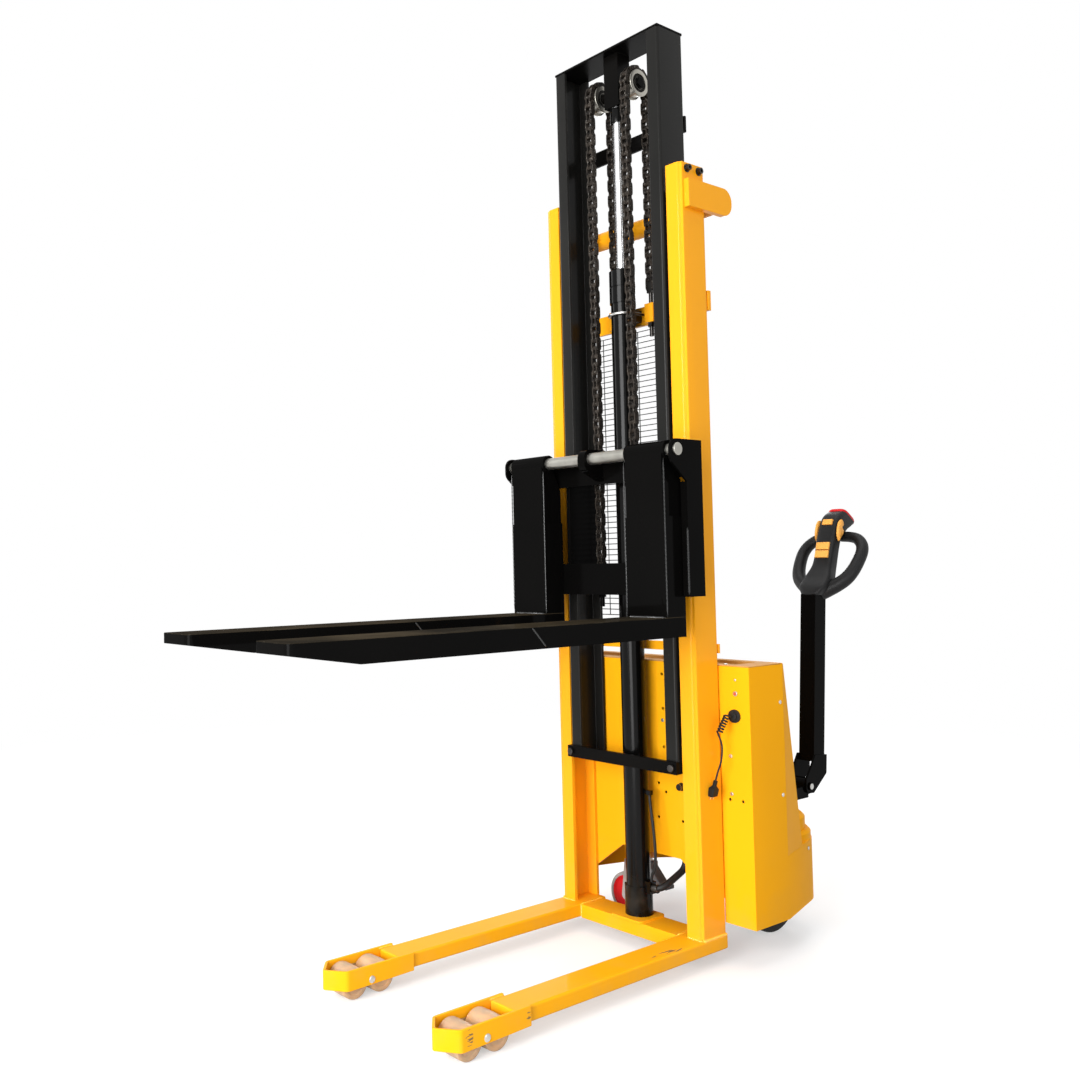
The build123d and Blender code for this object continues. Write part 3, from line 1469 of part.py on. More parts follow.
def make_caster_pedal():
    """Brake pedal on its pin between the caster's cheeks, with a flat tread at its tip."""
    ring = 2 * pedal_pin_radius
    half = caster_wheel_width / 2 - pedal_side_gap
    lever = outline([
        (pedal_pin_x - ring, pedal_pin_z + ring, pedal_pin_radius),
        (pedal_pin_x + ring, pedal_pin_z + ring, pedal_pin_radius),
        (pedal_tip_x - 2 * ring, pedal_tip_z + ring),
        (pedal_tip_x, pedal_tip_z + ring / 2, pedal_pin_radius / 2),
        (pedal_tip_x, pedal_tip_z - ring / 2, pedal_pin_radius / 2), (pedal_tip_x - 2 * ring, pedal_tip_z),
        (pedal_pin_x - ring, pedal_pin_z - ring, pedal_pin_radius),
    ])
    pedal = bar(lever, "y", caster_y - half, caster_y + half)
    hole = pedal_pin_radius + running_fit
    return pedal - round_bar("y", (pedal_pin_x, pedal_pin_z), hole, caster_y - half, caster_y + half)


def make_grommet():
    """Stepped rubber grommet in the right wing, with a nose that the cord leaves."""
    rim = cover_front - grommet_rim
    nose = rim - grommet_nose
    place = (grommet_x, grommet_z)
    grommet = round_bar("y", place, grommet_radius, rim, cover_front)
    grommet += round_bar("y", place, grommet_nose_radius, nose, rim)
    grommet += round_bar("y", place, grommet_bore, cover_front, cover_front + sheet)
    return grommet + round_bar("y", place, grommet_radius - sheet, cover_front + sheet, cover_front + 2 * sheet)


def biarc(start, leave, end, arrive):
    """Two arcs that join a start and an end with the given directions there."""
    span = end - start
    both = leave + arrive
    spread = 2 * (1 - leave.dot(arrive))
    lean = span.dot(both)
    arm = (sqrt(lean ** 2 + spread * span.dot(span)) - lean) / spread
    middle = (start + leave * arm + end - arrive * arm) * 0.5
    first = TangentArc(start, middle, tangent=leave)
    return [first, TangentArc(middle, end, tangent=first % 1)]


def cord_path():
    """Route of the cord: straight exit, helix on quarter-turn biarcs, then the limp tail."""
    exit_start = Vector(grommet_x, cover_front - grommet_rim - grommet_nose, grommet_z)
    leave = Vector(0, -1, 0)
    exit_end = exit_start + leave * 2 * cord_radius
    along = Vector(*curl_aim).normalized()
    rise = (leave - along * leave.dot(along)).normalized()
    out = rise.cross(along)
    first = exit_end + Vector(*curl_lead)
    axis = first - out * curl_radius
    girth = 2 * pi * curl_radius

    def curl(turn):
        angle = 2 * pi * turn
        place = axis + along * (curl_pitch * turn) + (out * cos(angle) + rise * sin(angle)) * curl_radius
        heading = along * curl_pitch + (rise * cos(angle) - out * sin(angle)) * girth
        return place, heading.normalized()

    edges = [Line(exit_start, exit_end)]
    place, heading = exit_end, leave
    for quarter in range(int(4 * curl_turns) + 1):
        next_place, next_heading = curl(quarter / 4)
        edges += biarc(place, heading, next_place, next_heading)
        place, heading = next_place, next_heading
    tail = FilletPolyline(*tail_points, radius=bend_radii(tail_points))
    edges += biarc(place, heading, Vector(*tail_points[0]), tail % 0)
    return Wire(edges + list(tail.edges())), curl(curl_turns)


def make_cord():
    """Six-sided tube along the cord's route; its gap to itself and its volume are printed."""
    path, curl_end = cord_path()
    start = Plane(path @ 0, z_dir=path % 0)
    cord = sweep(start * RegularPolygon(cord_radius, cord_sides), path=path)
    count = ceil(path.length)
    points = [path @ (step / count) for step in range(count + 1)]
    apart = ceil(girth_steps(path.length, count))
    gaps = [
        (points[a] - points[b]).length for a in range(count + 1) for b in range(a + apart, count + 1)
    ]
    section = cord_sides / 2 * cord_radius ** 2 * sin(2 * pi / cord_sides)
    print(f"cord length {path.length:.1f}, least gap to itself {min(gaps) - 2 * cord_radius:.2f}")
    print(f"cord volume {cord.volume:.0f}, section times length {section * path.length:.0f}")
    place, heading = curl_end
    print("curls end at", [round(value, 1) for value in place], [round(value, 2) for value in heading])
    print("tail bend radii", [round(radius, 1) for radius in bend_radii(tail_points)])
    return cord


def girth_steps(length, count):
    """Steps along the cord that make half a curl, past which two points can be neighbours in space."""
    return pi * curl_radius * count / length


def make_plug():
    """Moulded plug that flares from the cord's neck to a flat face with two prongs."""
    before, end = (Vector(*point) for point in tail_points[-2:])
    down = (end - before).normalized()
    neck = RectangleRounded(2 * plug_neck, 2 * plug_neck, plug_neck / 2)
    face = RectangleRounded(2 * plug_half_width, 2 * plug_half_depth, plug_neck / 2)
    places = ((0, neck), (plug_length / 3, neck), (plug_length / 2, face), (plug_length, face))
    plug = loft([Pos(0, 0, place) * section for place, section in places], ruled=True)
    for side in (-1, 1):
        plug += round_bar("z", (side * prong_spread, 0), prong_radius, plug_length, plug_length + prong_length)
    return Plane(end, x_dir=(0, 1, 0), z_dir=down) * plug


wrap_end = front_links + wrap_links
chain_end = wrap_end + back_links
chain_front = make_chain(0, front_links)
chain_wrap = make_chain(front_links, wrap_end)
chain_back = make_chain(wrap_end, chain_end)
pairs = {
    "leg": make_leg(),
    "bogie": make_bogie(),
    "load_roller_front": make_load_roller(-1),
    "load_roller_rear": make_load_roller(1),
    "mast_column": make_column(),
    "inner_channel": make_inner_channel(),
    "chain_front": chain_front,
    "chain_back": chain_back,
    "sheave": make_sheave(),
    "fork": make_fork(),
}
guide_pad = make_guide_pad()
nodes = {
    "base_crossbar": make_crossbar(),
    "mast_crossmembers": make_crossmembers(),
    "mesh_guard": make_guard(),
    "guide_pads": group(guide_pad, other_side(guide_pad)),
    "mast_fasteners": make_mast_fasteners(),
    "lift_cylinder": make_lift_cylinder(),
    "hydraulic_hoses": make_hoses(),
    "chassis_frame": make_chassis_frame(),
    "main_cover": make_main_cover(),
    "front_panel": make_front_panel(),
    "rear_cover": make_rear_cover(),
    "top_lid": make_lid(),
    "battery_pack": make_batteries(),
    "power_unit": make_power_unit(),
    "motor_controller": make_controller(),
    "cover_fittings": make_cover_fittings(),
    "inner_crossmembers": make_inner_crossmembers(),
    "piston_rod": make_piston_rod(),
    "mast_rollers": make_mast_rollers(),
    "chain_wraps": group(chain_wrap, other_side(chain_wrap)),
    "carriage_frame": make_carriage_frame(),
    "fork_shaft": round_bar("x", (shaft_y, shaft_z), shaft_radius, -shaft_end, shaft_end),
    "carriage_rollers_lower": make_carriage_rollers(carriage_roller_low),
    "carriage_rollers_upper": make_carriage_rollers(carriage_roller_high),
    "drive_unit": make_drive_unit(),
    "drive_wheel": make_drive_wheel(),
    "tiller_base": make_tiller_base(),
    "tiller_arm": make_tiller_arm(),
    "tiller_head": make_tiller_head(),
    "butterfly_switch": make_butterfly(),
    "belly_button": make_belly_button(),
    "thumb_button": make_key("thumb_button"),
    "raise_button": make_key("raise_button"),
    "lower_button": make_key("lower_button"),
    "caster_fork": make_caster_fork(),
    "caster_wheel": make_caster_wheel(),
    "caster_pedal": make_caster_pedal(),
}
for name, piece in pairs.items():
    nodes[f"{name}_right"] = piece
    nodes[f"{name}_left"] = other_side(piece)
rigid_boxes = [piece.bounding_box() for piece in nodes.values()]
middle_y = (min(box.min.Y for box in rigid_boxes) + max(box.max.Y for box in rigid_boxes)) / 2
nodes["cord_grommet"] = make_grommet()
nodes["charger_cord"] = make_cord()
nodes["charger_plug"] = make_plug()

os.makedirs("parts", exist_ok=True)
for name, piece in nodes.items():
    export_step(Pos(0, -middle_y, 0) * piece, f"parts/{name}.step")
print(f"{len(nodes)} nodes, machine's middle {middle_y:.2f} behind the mast front")
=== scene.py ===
import bmesh
import bpy
import json
import numpy as np
from math import cos, pi, radians, sin
from mathutils import Matrix, Vector


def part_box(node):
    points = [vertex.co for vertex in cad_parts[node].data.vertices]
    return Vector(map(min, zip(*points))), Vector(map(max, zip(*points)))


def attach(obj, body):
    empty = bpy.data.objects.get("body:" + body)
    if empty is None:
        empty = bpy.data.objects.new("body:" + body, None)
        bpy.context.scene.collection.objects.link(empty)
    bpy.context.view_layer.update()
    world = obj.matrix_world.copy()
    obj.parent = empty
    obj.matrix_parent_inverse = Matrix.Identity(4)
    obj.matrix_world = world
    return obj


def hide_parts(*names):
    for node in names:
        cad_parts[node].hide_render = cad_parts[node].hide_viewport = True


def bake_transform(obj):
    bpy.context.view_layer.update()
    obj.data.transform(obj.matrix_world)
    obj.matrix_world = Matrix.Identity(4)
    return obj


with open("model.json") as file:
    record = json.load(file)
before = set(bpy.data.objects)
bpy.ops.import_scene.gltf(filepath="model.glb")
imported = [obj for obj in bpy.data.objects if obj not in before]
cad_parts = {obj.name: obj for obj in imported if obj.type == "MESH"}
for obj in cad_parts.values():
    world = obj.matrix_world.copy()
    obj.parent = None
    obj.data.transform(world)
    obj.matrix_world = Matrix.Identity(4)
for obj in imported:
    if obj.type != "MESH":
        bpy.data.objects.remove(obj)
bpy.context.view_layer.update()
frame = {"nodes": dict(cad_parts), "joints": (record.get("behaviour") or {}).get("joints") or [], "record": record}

# Straddle legs and the crossbar between them.
# Box tube and bent plate, welded together and then powder coated yellow in one coat.
# The coat is scraped to the primer on the right leg and round the load roller boxes.


class Signal:
    """One socket of a node tree; arithmetic on it adds Math nodes to the same tree."""

    def __init__(self, finish, socket):
        self.finish = finish
        self.socket = socket

    def math(self, operation, first, second=0.0):
        return self.finish.node("Math", {0: first, 1: second}, operation=operation)

    def __add__(self, other):
        return self.math("ADD", self, other)

    def __sub__(self, other):
        return self.math("SUBTRACT", self, other)

    def __rsub__(self, other):
        return self.math("SUBTRACT", other, self)

    def __mul__(self, other):
        return self.math("MULTIPLY", self, other)

    __radd__, __rmul__ = __add__, __mul__

    def above(self, low, high):
        """0 below the low value, 1 above the high one, with a straight ramp between them."""
        return self.finish.node("MapRange", {"Value": self, "From Min": low, "From Max": high})


class Nodes:
    """A node tree being made: one method adds any node, which is named without its ShaderNode prefix."""

    def __init__(self, tree):
        self.tree = tree

    def node(self, kind, sockets=(), output=0, **settings):
        made = self.tree.nodes.new("ShaderNode" + kind)
        for name, value in settings.items():
            setattr(made, name, value)
        for name, value in dict(sockets).items():
            if isinstance(value, Signal):
                self.tree.links.new(value.socket, made.inputs[name])
            else:
                made.inputs[name].default_value = value
        return Signal(self, made.outputs[output])

    def show(self, signal, output):
        """Link a shader to the tree's output node."""
        self.tree.links.new(signal.socket, self.tree.nodes[output].inputs["Surface"])


class Finish(Nodes):
    """A material being made: constants go on its shader's own sockets."""

    def __init__(self, name, **constants):
        self.material = bpy.data.materials.new(name)
        self.material.use_nodes = True
        super().__init__(self.material.node_tree)
        self.shader = self.tree.nodes["Principled BSDF"]
        for socket, value in constants.items():
            self.shader.inputs[socket.replace("_", " ")].default_value = value

    def place(self):
        """Object coordinates, in metres."""
        return self.node("TexCoord", (), "Object")

    def along(self, axis):
        """One of the Object coordinates."""
        return self.node("SeparateXYZ", {0: self.place()}, axis)

    def stretched(self, x, y, z):
        """Object coordinates scaled along each axis, for a pattern that runs one way."""
        return self.node("Mapping", {"Vector": self.place(), "Scale": (x, y, z)})

    def noise(self, scale, detail=2.0, where=None):
        sockets = {"Vector": where or self.place(), "Scale": scale, "Detail": detail}
        return self.node("TexNoise", sockets)

    def cells(self, scale):
        return self.node("TexVoronoi", {"Vector": self.place(), "Scale": scale})

    def reach(self, centre, stretch=(1.0, 1.0, 1.0)):
        """Distance from a point, with each axis scaled first."""
        sockets = {0: self.stretched(*stretch), 1: tuple(c * s for c, s in zip(centre, stretch))}
        return self.node("VectorMath", sockets, "Value", operation="DISTANCE")

    def mix(self, share, low, high):
        """Colour between two others, each a signal or a red, green and blue."""
        low, high = [end if isinstance(end, Signal) else (*end, 1) for end in (low, high)]
        return self.node("Mix", {0: share, 6: low, 7: high}, 2, data_type="RGBA")

    def feed(self, socket, signal):
        self.tree.links.new(signal.socket, self.shader.inputs[socket])

    def done(self, colour, roughness, height, depth, strength=1.0):
        """Link the colour, the roughness and a bump of some depth in metres, and hand over the material."""
        self.feed("Base Color", colour)
        self.feed("Roughness", roughness)
        bump = {"Height": height, "Distance": depth, "Strength": strength}
        self.feed("Normal", self.node("Bump", bump))
        return self.material


def paint(name, colour, deep, chip, roughness, specular, coat, scrapes=()):
    """Powder coat: slow colour drift, orange peel, dust near the floor, small chips and scrapes to the primer."""
    made = Finish(name, Specular_IOR_Level=specular, Coat_Weight=coat, Coat_Roughness=0.06)
    tone = made.mix(made.noise(3.0, 3.0).above(0.3, 0.7), colour, deep)
    scuffed = made.noise(9.0, 4.0).above(0.74, 0.80)
    chips = scuffed * (1 - made.cells(95.0).above(0.10, 0.16))
    for centre, length, across in scrapes:
        streaks = made.noise(150.0, 3.0, made.stretched(1.6, 0.22, 1.6)).above(0.52, 0.56)
        chips = chips + (1 - made.reach(centre, (1 / across, 1 / length, 1 / across)).above(0.7, 1.0)) * streaks
    dust = (1 - made.along("Z").above(0.0, 0.3)) * made.noise(14.0, 4.0).above(0.45, 0.8)
    dusty = made.mix(dust * 0.14, tone, (0.33, 0.27, 0.2))
    shade = made.mix(chips.above(0.0, 1.0), dusty, chip)
    smear = made.noise(5.0, 3.0, made.stretched(1.0, 1.0, 0.25))
    rough = roughness + smear * 0.16 + chips * 0.3 + dust * 0.2
    return made.done(shade, rough, made.noise(420.0, 1.0) - chips * 1.5, 0.00012, 0.5)


column_low, column_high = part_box("mast_column_right")
mast_front = column_low.y
YELLOW = (0.95, 0.425, 0.008)
YELLOW_DEEP = (0.92, 0.405, 0.007)
PRIMER = (0.20, 0.135, 0.06)
SCRAPES = (
    ((0.228, mast_front - 0.137, 0.0735), 0.050, 0.010),
    ((0.234, mast_front - 0.090, 0.0735), 0.020, 0.007),
    ((0.2505, mast_front - 0.786, 0.056), 0.012, 0.020),
    ((0.2505, mast_front - 0.617, 0.058), 0.010, 0.009),
)
yellow_paint = paint("yellow_powder_coat", YELLOW, YELLOW_DEEP, PRIMER, 0.24, 0.05, 0.06)
leg_paint = paint("yellow_leg_coat", YELLOW, YELLOW_DEEP, PRIMER, 0.24, 0.05, 0.06, SCRAPES)
# The weld beads are painted a lighter yellow than the coat, as a painted highlight along them.
bead_paint = paint("yellow_bead_coat", (1.0, 0.50, 0.03), YELLOW, PRIMER, 0.10, 0.5, 0.4)
body_of_node = {node: body for body, nodes in frame["record"]["behaviour"]["bodies"].items() for node in nodes}
slot_of_node = {row["node"]: row["material_slot"] for row in frame["record"]["subparts"]}


def placed(name, data):
    """New object in the scene."""
    made = bpy.data.objects.new(name, data)
    bpy.context.scene.collection.objects.link(made)
    return made


def settle(name, mesh, material, body, slot, nodes=()):
    """Put a finished mesh in the scene on its body and hide the nodes that it stands for; its slot is not used."""
    mesh.materials.append(material)
    made = placed(name, mesh)
    if nodes:
        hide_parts(*nodes)
    if body:
        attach(made, body)
    return made


def break_edges(made, width, segments, sharp):
    """Round each edge that is sharper than an angle, and keep the flat faces' shading flat."""
    if width > 0:
        bevel = made.modifiers.new("broken_edges", "BEVEL")
        bevel.width, bevel.segments = width, segments
        bevel.limit_method, bevel.angle_limit = "ANGLE", radians(sharp)
        bevel.harden_normals = bevel.use_clamp_overlap = True


def surface(name, places, faces, sharp, flats):
    """Mesh with doubles merged, smooth up to an angle; flat faces are joined, or else all are turned outwards."""
    mesh = bpy.data.meshes.new(name)
    mesh.from_pydata(places, [], faces.tolist())
    work = bmesh.new()
    work.from_mesh(mesh)
    bmesh.ops.remove_doubles(work, verts=work.verts, dist=1e-5 if flats else 1e-6)
    if flats:
        bmesh.ops.dissolve_limit(work, angle_limit=radians(0.4), verts=work.verts, edges=work.edges)
    else:
        bmesh.ops.recalc_face_normals(work, faces=work.faces)
    work.to_mesh(mesh)
    work.free()
    mesh.shade_smooth()
    mesh.set_sharp_from_angle(angle=radians(sharp))
    return mesh


def dress(node, material, edge=0.0012, sharp=32.0, segments=2, reshape=None):
    """The node's own shape with doubles merged, flat faces joined, broken edges and smooth curves."""
    source = frame["nodes"][node].data
    places, corners = np.empty(len(source.vertices) * 3), np.empty(len(source.loops), dtype=int)
    source.vertices.foreach_get("co", places)
    source.loops.foreach_get("vertex_index", corners)
    places = places.reshape(-1, 3)
    mesh = surface(node + "_surface", reshape(places) if reshape else places, corners.reshape(-1, 3), sharp, True)
    made = settle(node + "_finished", mesh, material, body_of_node[node], slot_of_node[node], [node])
    break_edges(made, edge, segments, sharp)


def skin(name, grids, material, body, slot, nodes=(), sharp=40.0, edge=0.0):
    """Mesh of one or more grids of points, closed round their columns; rows that shrink to a point close an end."""
    places, faces, count = [], [], 0
    for grid in grids:
        number = count + np.arange(grid.size // 3).reshape(-1, *grid.shape[-3:-1])
        pairs = np.stack([number, np.roll(number, -1, 2)], -1)
        faces.append(np.concatenate([pairs[:, :-1], pairs[:, 1:, :, ::-1]], -1).reshape(-1, 4))
        places.append(grid.reshape(-1, 3))
        count += number.size
    mesh = surface(name, np.vstack(places), np.vstack(faces), sharp, False)
    made = settle(name, mesh, material, body, slot, nodes)
    break_edges(made, edge, 4, sharp)
    return made


def around(steps):
    """Angles of a full turn, in a column."""
    return np.linspace(0, 2 * pi, steps, endpoint=False)[:, None]


def unit(vectors):
    """Vectors divided by their lengths."""
    return vectors / np.linalg.norm(vectors, axis=-1, keepdims=True)


def eased(points, radius, steps=5):
    """Line of points with each inner corner a parabola, from a radius before the corner to one after it."""
    points = np.array(points, float)
    corner = points[1:-1]
    arms = np.stack([points[:-2], points[2:]]) - corner
    length = np.linalg.norm(arms, axis=-1, keepdims=True)
    start, end = corner + arms / length * np.minimum(radius, 0.48 * length)
    t = np.linspace(0, 1, steps)[None, :, None]
    arcs = (1 - t) ** 2 * start[:, None] + 2 * t * (1 - t) * corner[:, None] + t ** 2 * end[:, None]
    return np.vstack([points[:1], arcs.reshape(-1, points.shape[1]), points[-1:]])


def weld_bead(start, end, radius, ripple=0.0045):
    """Bead along a line, with Y from the mast's front: a tube that swells in each ripple and ends in points."""
    start, end = np.array([start, end]) + (0, mast_front, 0)
    length = np.linalg.norm(end - start)
    step = np.linspace(0, 1, max(int(length / ripple) * 4, 8))[:, None, None]
    turn = around(8)
    along = (end - start) / length
    side = unit(np.cross(along, (0.31, 0.52, 0.79)))
    swell = radius * (1 + 0.16 * np.sin(2 * pi * length / ripple * step)) * np.clip(6 * np.sin(pi * step), 0, 1)
    return start + (end - start) * step + swell * (side * np.cos(turn) + np.cross(along, side) * np.sin(turn))


TRACK, LEG_HALF, LEG_TOP, LEG_LOW = 0.204, 0.0395, 0.0735, 0.037
LEG_FRONT, LEG_REAR = -0.652, 0.099
BOX_HALF, BOX_WALL, BOX_TOP = 0.0465, 0.0068, 0.077
BOX_NOSE, BOX_CORNER, BOX_REAR, BOX_BEND = -0.848, -0.8085, -0.609, 0.008
BOX_SILL = np.array([(BOX_NOSE, 0.031), (BOX_CORNER, 0.030), (-0.737, 0.0255), (-0.642, 0.0215), (BOX_REAR, 0.0335)])


def capped(rings):
    """Rings of points, and one more at each end that is drawn in to a middle to close the shape."""
    first, last = [np.broadcast_to(rings[i].mean(0), rings[i].shape)[None] for i in (0, -1)]
    return np.concatenate([first, rings, last])


def leg_tube(side):
    """Leg: four corners carried along Y and capped."""
    corners = [(-LEG_HALF, 0, LEG_LOW), (LEG_HALF, 0, LEG_LOW), (LEG_HALF, 0, LEG_TOP), (-LEG_HALF, 0, LEG_TOP)]
    ends = np.array([(0, LEG_FRONT, 0), (0, LEG_REAR, 0)])[:, None]
    return capped(corners + ends) + (side * TRACK, mast_front, 0.0)


def roller_box(side):
    """Box: a plate's upright section carried along a line with eased bends, as low at each place as the sill."""
    line = eased([
        (BOX_HALF, BOX_REAR), (BOX_HALF, BOX_CORNER), (0, BOX_NOSE), (-BOX_HALF, BOX_CORNER), (-BOX_HALF, BOX_REAR),
    ], BOX_BEND, 9)
    heading = unit(np.gradient(line, axis=0))
    inner = line + BOX_WALL * np.column_stack([heading[:, 1], -heading[:, 0]])
    low = np.interp(line[:, 1], BOX_SILL[:, 0], BOX_SILL[:, 1])[:, None]
    top = np.full_like(low, BOX_TOP)
    rows = np.stack([np.hstack(pair) for pair in ((line, low), (line, top), (inner, top), (inner, low))], 1)
    return capped(rows) + (side * TRACK, mast_front, 0.0)


SIDES = (("left", -1), ("right", 1))
COLUMN_IN, COLUMN_OUT, COLUMN_DEPTH, CROSSBAR_FRONT, CROSSBAR_REAR = 0.192, 0.239, 0.100, -0.006, 0.084
beads = []
for name, side in SIDES:
    node = f"leg_{name}"
    skin(node + "_tube", [leg_tube(side)], leg_paint, "chassis", "yellow_paint", [node], edge=0.006)
    skin(node + "_box", [roller_box(side)], leg_paint, "chassis", "yellow_paint", [node], edge=0.0015)
    foot, inner, outer, joint = LEG_TOP - 0.001, side * COLUMN_IN, side * COLUMN_OUT, side * (TRACK - LEG_HALF)
    runs = [
        ((inner, 0, foot), (outer, 0, foot), 0.0045),
        ((outer, 0, foot), (outer, COLUMN_DEPTH, foot), 0.0045),
        ((joint, CROSSBAR_FRONT, foot), (joint, CROSSBAR_FRONT, LEG_LOW), 0.003),
        ((joint, CROSSBAR_FRONT, foot), (joint, CROSSBAR_REAR, foot), 0.003),
    ]
    for edge in (-1, 1):
        seam = side * TRACK + edge * (LEG_HALF + 0.0015)
        runs += [((seam, LEG_FRONT, foot), (seam, BOX_REAR, foot), 0.0032)]
        runs += [((seam, BOX_REAR, foot), (seam, BOX_REAR, 0.040), 0.0032)]
    beads += [weld_bead(*run) for run in runs]
skin("leg_welds", beads, bead_paint, "chassis", "yellow_paint")
LEG_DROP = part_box("leg_right")[1].z + 0.0005 - LEG_TOP


def joined_to_legs(places):
    """Ends drawn out to the legs' sides, and the whole lowered to their tops."""
    reach = np.abs(places[:, 0])
    wide = np.where(reach > reach.max() - 1e-4, TRACK - LEG_HALF, reach)
    return np.column_stack([np.sign(places[:, 0]) * wide, places[:, 1], places[:, 2] - LEG_DROP])


def set_down(places):
    """Foot lowered to what it stands on."""
    foot = places[:, 2] < places[:, 2].min() + 0.001
    return places - np.outer(foot, (0.0, 0.0, LEG_DROP))


dress("base_crossbar", yellow_paint, 0.0025, segments=3, reshape=joined_to_legs)

# Load rollers in rocking bogies under the leg tips.
# Brown cast polyurethane on steel hubs; the links and stub pins are zinc plated steel.
# The pins pass through the box sides and show as bright round ends.


def bright_metal(name, colour, dark, roughness, grain):
    """Plated or ground steel: fine drawn grain, dull patches and specks of grease."""
    made = Finish(name, Metallic=1.0)
    patch = made.noise(24.0, 3.0)
    lines = made.noise(60.0, 2.0, made.stretched(*grain))
    shade = made.mix(patch.above(0.35, 0.75), colour, dark)
    return made.done(shade, roughness + lines * 0.14 + patch * 0.12, lines, 0.00004)


def urethane(name, colour, worn):
    """Cast urethane: mottled colour, scuffs round the tread and a satin surface that lets a little light in."""
    made = Finish(name, Specular_IOR_Level=0.45, Subsurface_Weight=0.15, Subsurface_Scale=0.006)
    mottle = made.noise(38.0, 4.0)
    scuff = made.noise(120.0, 3.0, made.stretched(0.2, 1.0, 1.0)).above(0.52, 0.7)
    shade = made.mix(scuff * 0.4, made.mix(mottle.above(0.3, 0.7), colour, worn), worn)
    return made.done(shade, 0.3 + mottle * 0.15 + scuff * 0.2, mottle * 0.6 + scuff, 0.00015)


def middle_of(node):
    """Middle of a node's box."""
    low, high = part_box(node)
    return np.array((low + high) / 2)


def half_of(node):
    """Half the sizes of a node's box."""
    low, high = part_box(node)
    return (np.array(high) - np.array(low)) / 2


def turned(profile, axis, centre, steps=64):
    """Profile of places along an axis and radii, carried round that axis: radius times cosine and sine across it."""
    profile = np.array(profile, float)[:, None, :]
    angle = around(steps).T
    place = profile[..., 0] + 0 * angle
    first, second = profile[..., 1] * np.cos(angle), profile[..., 1] * np.sin(angle)
    order = {"x": (place, first, second), "y": (second, place, first), "z": (first, second, place)}
    return np.stack(order[axis], -1) + np.array(centre)


def closed(profile):
    """Profile that returns to its first point."""
    return np.vstack([profile, profile[:1]])


def mirrored(half, *crown):
    """First half of a profile, a crown if there is one, and the same half turned round."""
    return np.vstack([half, *crown, np.array(half)[::-1] * (-1, 1)])


def drum(half, radius, centre, steps):
    """Cylinder along X with flat ends."""
    return turned(mirrored([(-half, 0), (-half, radius)]), "x", centre, steps)


def slab(low, high, ring, middle):
    """Plate between two places on X: an outline of Y and Z at each of them, drawn in to a middle."""
    rows = np.stack([0 * ring + middle, ring, ring, 0 * ring + middle])
    across = np.array((low, low, high, high))[:, None, None] + np.zeros((4, len(ring), 1))
    return np.concatenate([across, rows], -1)


zinc = bright_metal("zinc_plate", (0.62, 0.62, 0.6), (0.42, 0.41, 0.39), 0.24, (1.0, 12.0, 1.0))
brown_urethane = urethane("brown_urethane", (0.62, 0.365, 0.18), (0.44, 0.29, 0.18))
ROLLER_HALF, ROLLER_RADIUS = half_of("load_roller_front_right")[[0, 2]]
AXLE_RADIUS = 0.0101
roller_profile = eased(mirrored([
    (-ROLLER_HALF + 0.002, AXLE_RADIUS), (-ROLLER_HALF + 0.002, 0.024), (-ROLLER_HALF, 0.026),
    (-ROLLER_HALF, ROLLER_RADIUS - 0.001),
], (0, ROLLER_RADIUS)), 0.004)
LINK_IN, LINK_OUT, LINK_RADIUS, LINK_RISE = 0.0350, 0.0385, 0.0115, 0.008
PIN_Y, PIN_Z, PIN_RADIUS = mast_front - 0.737, 0.0435, 0.0088


def squared(wave, power):
    """Wave from -1 to 1 made squarer by a power below one, with its sign kept."""
    return np.sign(wave) * np.abs(wave) ** power


def link_plate(low, high, middle, half_length):
    """Plate with round ends, raised between the rollers by a squared cosine."""
    turn, reach = around(40), half_length + LINK_RADIUS
    along = reach * squared(np.cos(turn), 0.8)
    up = LINK_RADIUS * squared(np.sin(turn), 0.5) + LINK_RISE * np.cos(pi / 2 * along / reach) ** 2
    return slab(low, high, np.hstack([along, up]), (0, LINK_RISE)) + middle


pin_ends = []
for name, side in SIDES:
    centres = {end: middle_of(f"load_roller_{end}_{name}") for end in ("front", "rear")}
    middle = (centres["front"] + centres["rear"]) / 2
    half_length = (centres["rear"] - centres["front"])[1] / 2
    plates = [link_plate(face * LINK_IN, face * LINK_OUT, middle, half_length) for face in (-1, 1)]
    plates += [drum(LINK_OUT, AXLE_RADIUS - 0.0001, centre, 32) for centre in centres.values()]
    skin(f"bogie_{name}_links", plates, zinc, f"bogie_{name}", "zinc_steel", [f"bogie_{name}"])
    dome = np.array([(-0.004, 0.0), (-0.004, 1.0), (0.001, 1.0), (0.0022, 0.85), (0.003, 0.5), (0.0033, 0.0)])
    for face in (-1, 1):
        shape = np.column_stack([face * (BOX_HALF + dome[:, 0]), PIN_RADIUS * dome[:, 1]])
        pin_ends.append(turned(shape, "x", (side * TRACK, PIN_Y, PIN_Z), 32))
    for end, centre in centres.items():
        node = f"load_roller_{end}_{name}"
        tread = turned(closed(roller_profile), "x", centre)
        skin(node + "_tyre", [tread], brown_urethane, node, "roller_urethane", [node])
skin("bogie_pin_ends", pin_ends, zinc, "chassis", "zinc_steel")

# Outer mast: two rolled columns with a top tie, a chain anchor beam and a lower tie.
# All are powder coated yellow after welding, and plastic pads in the column tops guide the inner mast.
# Black socket screws hold the pads.


def moulding(name, colour, light, roughness, grain, depth, specular=0.3):
    """Moulded plastic or rubber: fine spark-eroded grain and a faint change of tone."""
    made = Finish(name, Specular_IOR_Level=specular)
    tone = made.noise(16.0, 3.0)
    texture = made.noise(grain, 2.0)
    shade = made.mix(tone.above(0.35, 0.75) * 0.6, colour, light)
    return made.done(shade, roughness + texture * 0.12 + tone * 0.1, texture, depth)


